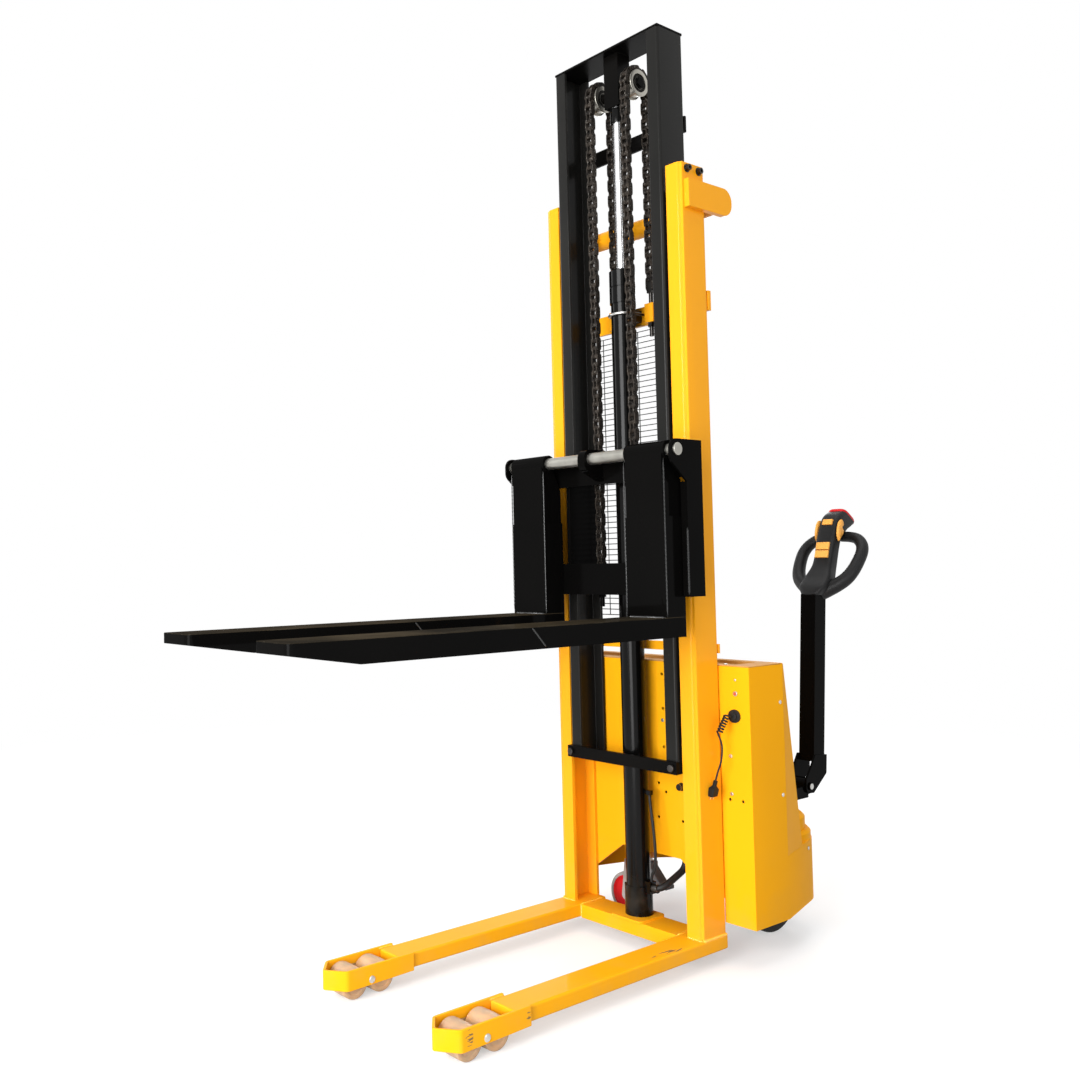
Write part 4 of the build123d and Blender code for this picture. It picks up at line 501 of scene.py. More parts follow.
white_plastic = moulding("guide_plastic", (0.78, 0.78, 0.74), (0.6, 0.59, 0.54), 0.35, 300.0, 0.0001)
black_oxide = bright_metal("black_oxide", (0.075, 0.07, 0.065), (0.03, 0.028, 0.027), 0.3, (1.0, 1.0, 1.0))
column_paint = paint("yellow_mast_coat", (0.95, 0.40, 0.011), (0.92, 0.385, 0.010), PRIMER, 0.22, 0.05, 0.15)
COLUMN_OUTER, MAST_WIDER = column_high.x, 0.006
BOLT_LOW, TIE_LOW, barrel_y = column_high.z - 0.1, column_high.z - 0.120, middle_of("lift_cylinder")[1]


def widened(places):
    """Outer sides moved out, with what is fixed on them."""
    out = np.sign(places[:, 0]) * (np.abs(places[:, 0]) > COLUMN_OUTER - 0.0005)
    return places + np.outer(out, (MAST_WIDER, 0.0, 0.0))


def flush_on_left(places):
    """Sides moved out with the columns, but the top tie's left bracket thinned until it is flush with its own."""
    bracket = (places[:, 0] < 0.0005 - COLUMN_OUTER) & (places[:, 2] > TIE_LOW)
    thinned = np.maximum(places, (0.0005 - COLUMN_OUTER - MAST_WIDER, -9.0, -9.0))
    return np.where(bracket[:, None], thinned, widened(places))


def fastener_metal():
    """Zinc plate, black on the guide bolts at the mast's top and on the saddle block behind the cylinder."""
    made = Finish("mast_fastener_plate", Metallic=1.0)
    across = made.along("X")
    behind = made.along("Y").above(barrel_y, barrel_y + 0.001)
    saddle = behind * (1 - across.math("ABSOLUTE", across).above(0.075, 0.076))
    dark = made.along("Z").above(BOLT_LOW, BOLT_LOW + 0.001) + saddle
    patch = made.noise(24.0, 3.0)
    plate = made.mix(patch.above(0.35, 0.75), (0.62, 0.62, 0.6), (0.42, 0.41, 0.39))
    shade = made.mix(dark.above(0.0, 1.0), plate, (0.05, 0.047, 0.044))
    return made.done(shade, 0.24 + patch * 0.2, made.noise(400.0), 0.00004)


for node in ("mast_column_left", "mast_column_right"):
    dress(node, column_paint, 0.0025, segments=3, reshape=lambda places: widened(set_down(places)))
dress("mast_crossmembers", column_paint, 0.002, segments=3, reshape=flush_on_left)
dress("guide_pads", white_plastic, 0.001)
dress("mast_fasteners", fastener_metal(), 0.0006, reshape=widened)

# Wire guard behind the mast window.
# Black-coated round wires, the level ones against the columns and the upright ones welded behind them.

guard_low, guard_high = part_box("mesh_guard")
WIRE = (guard_high.y - guard_low.y) / 4
LEVEL_WIRES, UPRIGHT_WIRES, UPRIGHT_STEP = 52, 6, 0.063


def straight_wires(starts, ends, radius):
    """Round wires between two arrays of points: a circle at each end, drawn in to a point to close it."""
    starts, ends = np.asarray(starts)[:, None, None], np.asarray(ends)[:, None, None]
    along = unit(ends - starts)
    side = np.cross(along, np.array((0.0, 1.0, 0.0)))
    other = np.cross(along, side)
    turn = around(8)
    share = np.array((0, 0, 1, 1))[:, None, None]
    size = radius * np.array((0, 1, 1, 0))[:, None, None]
    return starts + (ends - starts) * share + size * (side * np.cos(turn) + other * np.sin(turn))


BLACK = (0.0018, 0.0017, 0.0016)
BLACK_WORN = (0.0030, 0.0028, 0.0027)
BLACK_CHIP = (0.05, 0.045, 0.042)
gloss_black = paint("black_gloss_coat", BLACK, BLACK_WORN, BLACK_CHIP, 0.07, 0.14, 0.0)
levels = np.linspace(guard_low.z + WIRE, guard_high.z - WIRE, LEVEL_WIRES)
level_ends = np.column_stack([np.full(LEVEL_WIRES, guard_high.x), np.full(LEVEL_WIRES, guard_low.y + WIRE), levels])
uprights = (np.arange(UPRIGHT_WIRES + 1) - UPRIGHT_WIRES / 2)[:, None] * (UPRIGHT_STEP, 0, 0)
upright_low = uprights + (0, guard_high.y - WIRE, guard_low.z)
upright_high = uprights + (0, guard_high.y - WIRE, guard_high.z)
wires = [straight_wires(level_ends * (-1, 1, 1), level_ends, WIRE), straight_wires(upright_low, upright_high, WIRE)]
skin("mesh_guard_wires", wires, gloss_black, "chassis", "black_paint", ["mesh_guard"])

# Lift cylinder on its pad between the columns.
# Painted steel barrel with a grooved gland; the ground rod is hard chromed and ends in a black collar.

chrome = bright_metal("hard_chrome", (0.86, 0.86, 0.87), (0.78, 0.78, 0.78), 0.10, (1.0, 1.0, 9.0))
dress("lift_cylinder", gloss_black, 0.001, reshape=set_down)
dress("piston_rod", chrome, 0.0)
rod_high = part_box("piston_rod")[1]
rod_x, rod_y = middle_of("piston_rod")[:2]
COLLAR_RADIUS, COLLAR_HEIGHT = 0.0202, 0.041
collar = eased([
    (rod_high.z - COLLAR_HEIGHT, 0.0152), (rod_high.z - COLLAR_HEIGHT, COLLAR_RADIUS),
    (rod_high.z - 0.0002, COLLAR_RADIUS), (rod_high.z - 0.0002, 0.0152),
], 0.002)
collar_ring = turned(closed(collar), "z", (rod_x, rod_y, 0), 48)
skin("rod_collar", [collar_ring], gloss_black, "inner_mast", "black_paint")

# Hydraulic hoses at the cylinder's foot.
# Rubber hose on crimped ends, held between the ports and the frame plate.

rubber = moulding("black_rubber", (0.010, 0.010, 0.010), (0.02, 0.019, 0.018), 0.4, 500.0, 0.0001, 0.25)


def soft_line(name, points, radius, rounds, steps):
    """Curve of a hose or cord: one smooth spline on the points, with a round section and closed ends."""
    curve = bpy.data.curves.new(name, "CURVE")
    curve.dimensions = "3D"
    curve.bevel_depth = radius
    curve.bevel_resolution = rounds
    curve.use_fill_caps = True
    spline = curve.splines.new("NURBS")
    spline.points.add(len(points) - 1)
    spline.points.foreach_set("co", np.column_stack([points, np.ones(len(points))]).ravel())
    spline.order_u = 3
    spline.use_endpoint_u = True
    spline.resolution_u = steps
    return curve


HOSES = (
    ("bleed_hose", 0.004, [
        (0.046, 0.045, 0.402), (0.046, 0.045, 0.385), (0.056, 0.045, 0.317), (0.061, 0.045, 0.250),
        (0.058, 0.045, 0.205), (0.045, 0.045, 0.187), (0.045, 0.045, 0.172)]),
    ("pressure_hose", 0.009, [
        (0.050, 0.045, 0.156), (0.074, 0.045, 0.156), (0.086, 0.090, 0.182), (0.092, 0.133, 0.204),
        (0.092, 0.133, 0.236)]),
)
for name, radius, places in HOSES:
    hose = soft_line(name, np.array(places) + (0.0, mast_front, 0.0), radius, 5, 12)
    settle(name, hose, rubber, "chassis", "hose_rubber", ["hydraulic_hoses"])
ferrule = eased([(0.050, 0.0), (0.050, 0.0115), (0.066, 0.0115), (0.067, 0.0)], 0.001)
skin("hose_ferrule", [turned(ferrule, "x", (0, mast_front + 0.045, 0.156), 24)], black_oxide, "chassis", "zinc_steel")

# Inner mast: two black channels tied by a crosshead, a rear bar and a bolted bottom bar.
# The crosshead carries the rod and the sheave axle; the coat is duller than that of the forks.

DULL_BLACK = (0.0080, 0.0079, 0.0072)
DULL_WORN = (0.0125, 0.012, 0.011)
dull_black = paint("black_satin_coat", DULL_BLACK, DULL_WORN, (0.06, 0.055, 0.05), 0.28, 0.08, 0.10)
for node in ("inner_channel_left", "inner_channel_right"):
    dress(node, dull_black, 0.002, segments=3)
bar_black = paint("black_bar_coat", (0.0036, 0.0032, 0.0028), BLACK, BLACK_CHIP, 0.22, 0.04, 0.0)
dress("inner_crossmembers", bar_black, 0.0015)
bearing_steel = bright_metal("bearing_steel", (0.3, 0.29, 0.27), (0.12, 0.115, 0.11), 0.3, (6.0, 1.0, 1.0))
bolt_head = eased([(-0.0276, 0.0), (-0.0276, 0.0092), (-0.0202, 0.0092), (-0.0202, 0.0)], 0.0015)
BAR_BOLT_X, BAR_BOLT_Z = 0.1735, 0.499
bolts = [turned(bolt_head, "y", (side * BAR_BOLT_X, mast_front, BAR_BOLT_Z), 24) for side in (-1, 1)]
skin("bottom_bar_bolts", bolts, black_oxide, "inner_mast", "bearing_steel")

# Lift chains over the sheaves.
# Oiled steel roller chain: rounded plates in pairs, pins riveted through them and rollers between the inner pairs.
# Each strand runs from an anchor over a flanged sheave on the crosshead to the other anchor.


def oiled_steel():
    """Oiled chain steel: brown-black film, thin in patches where the metal shines through."""
    made = Finish("oiled_chain", Metallic=0.8)
    film = made.noise(70.0, 3.0)
    worn = made.noise(210.0, 2.0).above(0.60, 0.70)
    filmed = made.mix(film.above(0.3, 0.7), (0.05, 0.039, 0.03), (0.012, 0.010, 0.009))
    shade = made.mix(worn * 0.5, filmed, (0.30, 0.28, 0.25))
    return made.done(shade, 0.42 + film * 0.2 - worn * 0.12, film, 0.0001)


chain_steel = oiled_steel()
sheave_middle = middle_of("sheave_right")
CHAIN_X, SHEAVE_Y, SHEAVE_Z = sheave_middle
PITCH, WRAP_LINKS = 0.022225, 6
PIN_CIRCLE = PITCH / (2 * sin(pi / 2 / WRAP_LINKS))
PLATE_HALF, PLATE_OVERHANG, PLATE_THICK, LINK_GAP = 0.0092, 0.0075, 0.0036, 0.0043
LINK_PIN, LINK_ROLLER = 0.004, 0.0072
front_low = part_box("chain_front_right")[0].z + PLATE_OVERHANG
back_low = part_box("chain_back_right")[0].z + PLATE_OVERHANG
FRONT_LINKS = round((SHEAVE_Z - front_low) / PITCH)
BACK_LINKS = round((SHEAVE_Z - back_low) / PITCH)
# Pins count from the front of the wrap; those before it and past its end hang straight down.
number = np.arange(-FRONT_LINKS, WRAP_LINKS + BACK_LINKS + 1)
swing = pi * np.clip(number, 0, WRAP_LINKS) / WRAP_LINKS
hang = PITCH * np.maximum(0, np.maximum(-number, number - WRAP_LINKS))
pins = np.column_stack([SHEAVE_Y - PIN_CIRCLE * np.cos(swing), SHEAVE_Z + PIN_CIRCLE * np.sin(swing) - hang])


def flat_plate(low, high):
    """Chain plate between two places on X: a squared cosine along and a squared sine across, as one round outline."""
    turn = around(14)
    length = PITCH / 2 + (PITCH / 2 + PLATE_OVERHANG) * squared(np.cos(turn), 0.75)
    width = PLATE_HALF * squared(np.sin(turn), 0.6) * (1 - 0.12 * np.sin(turn) ** 6)
    return slab(low, high, np.hstack([width, length]), (0, PITCH / 2))


def link_pieces(first, last, side):
    """Plates, pins and rollers of the links between two pins, each turned to its own link's direction."""
    number = np.arange(first, last)
    start, end = pins[number], pins[number + 1]
    along = (end - start) / PITCH
    frames = np.zeros((len(number), 3, 3))
    frames[:, 0, 0] = 1
    frames[:, 1, 1], frames[:, 1, 2] = along[:, 1], -along[:, 0]
    frames[:, 2, 1], frames[:, 2, 2] = along[:, 0], along[:, 1]
    origin = np.column_stack([np.full(len(number), side * CHAIN_X), start])
    outer = number % 2 == 0
    place = lambda shape, which: np.einsum("rcj,njk->nrck", shape, frames[which]) + origin[which][:, None, None]
    half = LINK_GAP + 2 * PLATE_THICK
    sizes = (half + 0.0006, LINK_PIN), (LINK_GAP, LINK_ROLLER)
    shapes = [place(drum(*size, (0, 0, 0), 8), number > 0) for size in sizes]
    for face in (-1, 1):
        shapes.append(place(flat_plate(face * LINK_GAP, face * (LINK_GAP + PLATE_THICK - 0.0002)), ~outer))
        shapes.append(place(flat_plate(face * (LINK_GAP + PLATE_THICK), face * half), outer))
    return shapes


WRAP_END = FRONT_LINKS + WRAP_LINKS
wraps = []
for name, side in SIDES:
    wraps += link_pieces(FRONT_LINKS, WRAP_END, side)
    node = f"chain_front_{name}"
    strand = skin(node + "_links", link_pieces(0, FRONT_LINKS, side), chain_steel, None, "chain_steel", [node])
    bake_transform(strand)
    node = f"chain_back_{name}"
    links = link_pieces(WRAP_END, len(pins) - 1, side)
    strand = skin(node + "_links", links, chain_steel, None, "chain_steel", [node])
    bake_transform(strand)
skin("chain_wrap_links", wraps, chain_steel, "inner_mast", "chain_steel", ["chain_wraps"])


def sheave_metal():
    """Turned steel: a bright rim, painted shade darkening the recess inside it, and fine rings from the lathe."""
    made = Finish("sheave_steel", Metallic=1.0)
    radius = made.reach(sheave_middle, (0.0, 1.0, 1.0))
    rim = radius.above(0.0252, 0.0258)
    hub = radius.above(0.0150, 0.0155) - radius.above(0.0172, 0.0177)
    rings = made.noise(1.0, 2.0, made.node("CombineXYZ", {0: radius * 2200.0}))
    # Inside the rim the steel is painted dark as shade in the recess, with a lighter ring round the hub.
    shade = made.mix(rim + hub * 0.45, (0.03, 0.028, 0.025), (0.46, 0.44, 0.39))
    return made.done(shade, 0.5 - rim * 0.2 + rings * 0.1, rings, 0.00005)


sheave_steel = sheave_metal()
SHEAVE_FACE, SHEAVE_SEAT, SHEAVE_RIM, SHEAVE_BORE = 0.0155, 0.0318, 0.0372, 0.0126
seat_edge = LINK_GAP + 2 * PLATE_THICK + 0.0005
for name, side in SIDES:
    outline = eased([
        (-SHEAVE_FACE, SHEAVE_BORE), (-SHEAVE_FACE, SHEAVE_RIM), (-seat_edge, SHEAVE_RIM), (-seat_edge, SHEAVE_SEAT),
        (seat_edge, SHEAVE_SEAT), (seat_edge, SHEAVE_RIM), (SHEAVE_FACE, SHEAVE_RIM), (SHEAVE_FACE, 0.0258),
        (SHEAVE_FACE - 0.003, 0.0250), (SHEAVE_FACE - 0.003, 0.019), (SHEAVE_FACE - 0.001, 0.0178),
        (SHEAVE_FACE - 0.001, SHEAVE_BORE), (-SHEAVE_FACE, SHEAVE_BORE),
    ], 0.0011, 4)
    node = f"sheave_{name}"
    wheel = turned(outline * (side, 1), "x", middle_of(node), 48)
    skin(node + "_wheel", [wheel], sheave_steel, node, "bearing_steel", [node])
dress("mast_rollers", bearing_steel, 0.001)

# Carriage: welded bars, uprights and plates that ride on rollers inside the inner mast.
# The forks hang on a bright ground shaft through its end plates and a hanger in the middle.

ground_steel = bright_metal("ground_shaft", (0.42, 0.41, 0.37), (0.30, 0.29, 0.26), 0.24, (14.0, 1.0, 1.0))
fork_black = paint("black_fork_coat", BLACK, BLACK_WORN, BLACK_CHIP, 0.07, 0.02, 0.0)
# The black beads are painted lighter than the black coat, as a painted highlight along the welds and edges.
bead_black = paint(
    "black_bead_coat", (0.006, 0.006, 0.006), (0.02, 0.02, 0.02), (0.1, 0.1, 0.1), 0.16, 0.35, 0.18)
PLATE_INSIDE, PLATE_CORNER = 0.2845, 0.0125
PLATE_REAR, PLATE_TOP = mast_front - 0.017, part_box("carriage_frame")[1].z


def square_corners(places):
    """End plates' rounded upper rear corners drawn out to a point."""
    near = np.hypot(places[:, 1] - PLATE_REAR, places[:, 2] - PLATE_TOP) < 0.99 * PLATE_CORNER
    corner = near & (np.abs(places[:, 0]) > PLATE_INSIDE)
    point = places * (1, 0, 0) + (0, PLATE_REAR, PLATE_TOP)
    return np.where(corner[:, None], point, places)


dress("carriage_frame", fork_black, 0.002, segments=3, reshape=square_corners)
dress("fork_shaft", ground_steel, 0.0015)
dress("carriage_rollers_upper", bearing_steel, 0.001)
dress("carriage_rollers_lower", bearing_steel, 0.001)
BAR_Y, BAR_SEAM, BAR_HEIGHTS = -0.0627, (0.166, 0.213), (1.026, 1.238)
FLANGE_X, FLANGE_Y, FLANGE_SEAM = 0.2885, -0.0785, (0.944, 1.112)
beads = []
for side in (-1, 1):
    beads += [weld_bead(*[(side * x, BAR_Y, z) for x in BAR_SEAM], 0.0028) for z in BAR_HEIGHTS]
    beads += [weld_bead(*[(side * FLANGE_X, FLANGE_Y, z) for z in FLANGE_SEAM], 0.0029, 0.0065)]
skin("carriage_welds", beads, bead_black, "carriage", "black_paint")

# Forks: folded and welded plate, painted gloss black, each hung on the shaft by a sleeve.
# A weld closes the splice in each blade's side, and another runs across the heel.

BLADE_TOP, SHANK_TOP = 0.890, 1.285
SHANK_FRONT, SPLICE_FRONT, SPLICE_REAR = -0.138, -0.596, -0.555


def blade_coat():
    """Gloss black on upright faces; the blades' tops are dull and brown, partly from wear by loads and partly as a
    painted reflection, with long scratches.
    """
    made = Finish("black_blade_coat", Specular_IOR_Level=0.0, Coat_Roughness=0.05)
    height = made.along("Z")
    top = height.above(BLADE_TOP - 0.0012, BLADE_TOP - 0.0006) - height.above(BLADE_TOP + 0.0006, BLADE_TOP + 0.0012)
    drift = made.noise(5.0, 3.0)
    scratch = made.noise(130.0, 3.0, made.stretched(1.5, 0.06, 1.5)).above(0.60, 0.66)
    # The tops' brown is partly wear and partly a painted reflection of the surroundings.
    rubbed_and_sheen = made.mix(drift.above(0.35, 0.7), (0.016, 0.013, 0.009), (0.055, 0.042, 0.026))
    worn = made.mix(scratch * 0.35, rubbed_and_sheen, (0.10, 0.085, 0.06))
    gloss = made.mix(drift, (0.0022, 0.0021, 0.0020), (0.0034, 0.0032, 0.0030))
    made.feed("Coat Weight", 0.07 - top * 0.06)
    peel = made.noise(420.0, 1.0) + scratch * top
    return made.done(made.mix(top, gloss, worn), 0.3 + drift * 0.2, peel, 0.0001, 0.5)


blade_black = blade_coat()
for node in ("fork_left", "fork_right"):
    dress(node, blade_black, 0.003, segments=3)
    low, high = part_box(node)
    beads = []
    for x in (low.x, high.x):
        beads += [weld_bead((x, SPLICE_FRONT, BLADE_TOP - 0.002), (x, SPLICE_REAR, low.z + 0.004), 0.0022)]
        beads += [weld_bead(*[(x, SHANK_FRONT + 0.001, z) for z in (BLADE_TOP, SHANK_TOP)], 0.0018, 0.011)]
    beads += [weld_bead(*[(x, SHANK_FRONT, BLADE_TOP) for x in (low.x + 0.006, high.x - 0.006)], 0.0035)]
    skin(node + "_welds", beads, bead_black, node, "black_paint")

# Chassis frame and covers.
# Folded sheet and a moulded rear cover, all yellow; zinc screws, a charge lamp and its pilot light sit on the faces.

# The lid is painted a duller, browner yellow than the other covers.
lid_paint = paint("dull_brown_lid_coat", (0.62, 0.30, 0.06), (0.50, 0.27, 0.10), PRIMER, 0.5, 0.02, 0.0)
dress("top_lid", lid_paint, 0.0015, segments=3)
for node in ("chassis_frame", "front_panel"):
    dress(node, yellow_paint, 0.0015, segments=3)
cover_paint = paint("yellow_cover_coat", YELLOW, YELLOW_DEEP, PRIMER, 0.30, 0.02, 0.0)
dress("main_cover", cover_paint, 0.006, segments=4)
dress("rear_cover", cover_paint, 0.004, 24.0, 4)
dress("cover_fittings", zinc, 0.0012, segments=3)
cover_low, cover_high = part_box("main_cover")
knob_x, knob_z, KNOB_RADIUS = 0.110, 0.426, 0.0094
knob = eased([
    (-0.0144, 0.0), (-0.0144, KNOB_RADIUS), (-0.004, KNOB_RADIUS), (-0.003, 0.011), (0.0, 0.011), (0.0, 0.0),
], 0.002)
PLASTIC, PLASTIC_PALE = (0.0075, 0.0075, 0.0078), (0.012, 0.012, 0.0125)
black_plastic = moulding("black_moulding", PLASTIC, PLASTIC_PALE, 0.36, 900.0, 0.00012, 0.18)
skin("panel_knob", [turned(knob, "y", (knob_x, cover_low.y, knob_z), 32)], black_plastic, "chassis", "black_plastic")
red_lens = moulding("lamp_lens", (0.55, 0.05, 0.03), (0.6, 0.12, 0.08), 0.15, 300.0, 0.00002, 0.5)
lens = eased([(-0.0062, 0.0), (-0.0056, 0.0028), (-0.004, 0.0042), (-0.0038, 0.0)], 0.001)
lamp = (cover_high.x - 0.040, cover_low.y, cover_high.z - 0.068)
skin("charge_lamp_lens", [turned(lens, "y", lamp, 24)], red_lens, "chassis", "red_plastic")

# Batteries, power unit and motor controller behind the covers.
# Plain cased units on the frame plate, seen only with the covers off.

grey_casting = bright_metal("cast_aluminium", (0.5, 0.5, 0.5), (0.33, 0.33, 0.33), 0.42, (1.0, 1.0, 1.0))
dress("battery_pack", black_plastic, 0.002)
dress("power_unit", grey_casting, 0.001)
dress("motor_controller", grey_casting, 0.001)

# Drive unit and its wheel under the dome.
# Cast housing painted black, a black rubber tyre bonded to a grey hub with its bolts on the open side.

tyre_rubber = moulding("tyre_rubber", (0.012, 0.012, 0.012), (0.03, 0.028, 0.026), 0.55, 260.0, 0.0002, 0.2)
dress("drive_unit", dull_black, 0.001)
wheel_middle = middle_of("drive_wheel")
WHEEL_HALF, WHEEL_RADIUS, HUB_RADIUS, BORE = half_of("drive_wheel")[0], wheel_middle[2], 0.082, 0.0201
tyre = eased(mirrored([(-WHEEL_HALF, HUB_RADIUS), (-WHEEL_HALF, WHEEL_RADIUS)]), 0.010, 8)
hub = eased([
    (-WHEEL_HALF + 0.001, BORE), (-WHEEL_HALF + 0.001, HUB_RADIUS), (WHEEL_HALF - 0.001, HUB_RADIUS),
    (WHEEL_HALF - 0.001, 0.075), (WHEEL_HALF - 0.012, 0.068), (WHEEL_HALF - 0.012, 0.034),
    (WHEEL_HALF - 0.006, 0.031), (WHEEL_HALF - 0.006, BORE),
], 0.002)
tread = turned(closed(tyre), "x", wheel_middle, 96)
skin("drive_wheel_tyre", [tread], tyre_rubber, "drive_wheel", "drive_tyre", ["drive_wheel"])
BOLT_CIRCLE, spin = 0.05, around(5)
bolt_places = wheel_middle + BOLT_CIRCLE * np.hstack([0 * spin, np.cos(spin), np.sin(spin)])
bolts = drum(0.003, 0.007, (WHEEL_HALF - 0.0095, 0, 0), 6) + bolt_places[:, None, None]
wheel_disc = turned(closed(hub), "x", wheel_middle, 64)
skin("drive_wheel_hub", [wheel_disc, bolts], grey_casting, "drive_wheel", "pump_metal")

# Stabiliser caster with its brake pedal.
# Zinc plated fork, red hub in a pale urethane tyre, and a grey moulded pedal.

pale_urethane = urethane("pale_urethane", (0.42, 0.42, 0.41), (0.30, 0.29, 0.28))
red_plastic = moulding("red_moulding", (0.60, 0.010, 0.012), (0.52, 0.008, 0.010), 0.30, 500.0, 0.00003, 0.15)
grey_plastic = moulding("grey_moulding", (0.17, 0.185, 0.20), (0.11, 0.115, 0.12), 0.42, 400.0, 0.0001)
dress("caster_fork", zinc, 0.001)
dress("caster_pedal", grey_plastic, 0.004, segments=4)
caster_middle = middle_of("caster_wheel")
CASTER_HALF, CASTER_RADIUS, RED_RADIUS, CASTER_BORE = half_of("caster_wheel")[1], caster_middle[2], 0.053, 0.0081
tyre = eased(mirrored([(-CASTER_HALF, RED_RADIUS), (-CASTER_HALF, CASTER_RADIUS)]), 0.007, 8)
disc = eased(mirrored([
    (-CASTER_HALF + 0.002, CASTER_BORE), (-CASTER_HALF + 0.002, 0.020), (-CASTER_HALF + 0.006, 0.024),
    (-CASTER_HALF + 0.006, 0.045), (-CASTER_HALF + 0.001, RED_RADIUS),
]), 0.002)
tread = turned(closed(tyre), "y", caster_middle, 64)
skin("caster_tyre", [tread], pale_urethane, "caster_wheel", "caster_urethane", ["caster_wheel"])
skin("caster_hub", [turned(closed(disc), "y", caster_middle, 64)], red_plastic, "caster_wheel", "red_plastic")

# Tiller arm on its steering base.
# Painted box tube with two cheeks that swing on a pin through the base; the pin's ends are bright.

dress("tiller_base", fork_black, 0.0015)
dress("tiller_arm", fork_black, 0.005, segments=4)
joints = {joint["name"]: joint for joint in frame["joints"]}
tilt_axis = np.array(joints["tiller_tilt"]["pos_m"])
base_low, base_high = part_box("tiller_base")
pin_end = eased([(0.0, 0.0), (0.0, 0.0085), (0.0012, 0.0085), (0.0012, 0.0)], 0.0008)
ends = [turned(pin_end * (side, 1), "x", (x, *tilt_axis[1:]), 24) for side, x in ((-1, base_low.x), (1, base_high.x))]
skin("pivot_pin_ends", ends, zinc, "steering", "zinc_steel")

# Tiller head: a moulded body that leans back and flares to its belly, with two thick hand loops.
# Fine-grained black plastic; the keys and the butterfly paddles are orange and the belly button is red.

ARM_LEAN, ARM_OFFSET, ARM_TOP = radians(4.4), 0.054, 0.556
head_at = tilt_axis + (
    0.0, ARM_OFFSET * cos(ARM_LEAN) + ARM_TOP * sin(ARM_LEAN), ARM_TOP * cos(ARM_LEAN) - ARM_OFFSET * sin(ARM_LEAN))
HEAD_FRONTS = 0.001 * np.array([
    (-28, 0), (-14, 26), (18, 57), (46, 97), (70, 169), (94, 219), (112, 240), (138, 252)])
HEAD_REARS = 0.001 * np.array([
    (28, -3), (42, 18), (61, 36), (90, 79), (118, 160), (152, 190), (178, 202), (198, 212)])
HEAD_WIDTHS = 0.001 * np.array([27, 42, 40, 30, 30, 31, 31, 30])


def through(points, steps):
    """Smooth line through points: on each run the cubic whose end slopes are half the neighbours' difference."""
    points = np.asarray(points, float)
    slopes = np.gradient(points, axis=0)
    t = np.linspace(0, 1, steps, endpoint=False)[None, :, None]
    start, end = points[:-1, None], points[1:, None]
    leave, arrive = slopes[:-1, None], slopes[1:, None]
    line = (2 * t ** 3 - 3 * t ** 2 + 1) * start + (t ** 3 - 2 * t ** 2 + t) * leave
    line = line + (3 * t ** 2 - 2 * t ** 3) * end + (t ** 3 - t ** 2) * arrive
    return np.vstack([line.reshape(-1, points.shape[1]), points[-1:]])


def head_body():
    """Body: rounded-square rings between a front and a rear line: a cosine across and a sine front to rear."""
    stations = through(np.column_stack([HEAD_FRONTS, HEAD_REARS, HEAD_WIDTHS]), 12)
    front, rear, half = stations[:, None, 0:2], stations[:, None, 2:4], stations[:, None, 4:5]
    turn = around(56)
    across = half * squared(np.cos(turn), 0.42)
    deep = (front + rear) / 2 + (rear - front) / 2 * squared(np.sin(turn), 0.42)
    rings = np.concatenate([across, deep], -1)
    return capped(rings) + head_at


LOOP_LEAN, LOOP_SETBACK = radians(36.0), (0.0, 0.020, 0.0)
LOOP_ROUTE = 0.001 * np.array([
    (4, 2), (26, 16), (52, 33), (74, 55), (87, 83), (94, 120), (95, 155), (86, 182), (66, 203), (42, 211), (14, 214)])
LOOP_RADII = 0.001 * np.array([24, 23, 21, 20, 19, 18, 17.5, 17, 16.5, 16, 16])


def hand_loop(side):
    """Loop: a round section carried along a smooth line in the loop's leaning plane, thicker towards the neck."""
    line = through(np.column_stack([LOOP_ROUTE * (side, 1), LOOP_RADII]), 10)
    up = np.array((0.0, sin(LOOP_LEAN), cos(LOOP_LEAN)))
    normal = np.array((0.0, -cos(LOOP_LEAN), sin(LOOP_LEAN)))
    path = line[:, :1] * (1.0, 0.0, 0.0) + line[:, 1:2] * up + head_at + LOOP_SETBACK
    outward = np.cross(unit(np.gradient(path, axis=0)), normal)
    turn = around(28)
    return capped(path[:, None] + line[:, None, 2:3] * (outward[:, None] * np.cos(turn) + normal * np.sin(turn)))


skin("tiller_head_moulding", [head_body(), hand_loop(-1), hand_loop(1)], black_plastic, "tiller", "black_plastic",
     ["tiller_head"], 60.0)
orange_plastic = moulding("orange_moulding", (0.90, 0.42, 0.08), (0.86, 0.38, 0.06), 0.36, 500.0, 0.00008)
for node in ("thumb_button", "raise_button", "lower_button"):
    dress(node, orange_plastic, 0.0015, segments=3)
PADDLE = 0.001 * np.array([
    (-10, -33), (9, -15), (17, -4), (8.5, 8), (18, 21), (9, 32), (-5, 24), (-13, 6), (-17, -16)])


def paddle(side):
    """Wavy paddle: a smooth closed line through the outline's points, its two faces rounded in to their middles."""
    outline = through(closed(PADDLE), 6)[:-1]
    rows = np.array((0.0, 0.86, 1.0, 1.0, 0.86, 0.0))[:, None, None] * outline
    depth = np.array((0.0, 0.0, 0.002, 0.006, 0.008, 0.008))[:, None, None] + np.zeros((6, len(outline), 1))
    return np.concatenate([side * (HEAD_WIDTHS[-2] + 0.0005 + depth), rows], -1) + paddle_middle


paddle_middle = np.array(joints["butterfly_turn"]["pos_m"])
shaft = drum(0.034, 0.005, paddle_middle, 24)
skin("butterfly_paddles", [paddle(-1), paddle(1), shaft], orange_plastic, "butterfly_switch", "orange_plastic",
     ["butterfly_switch"])


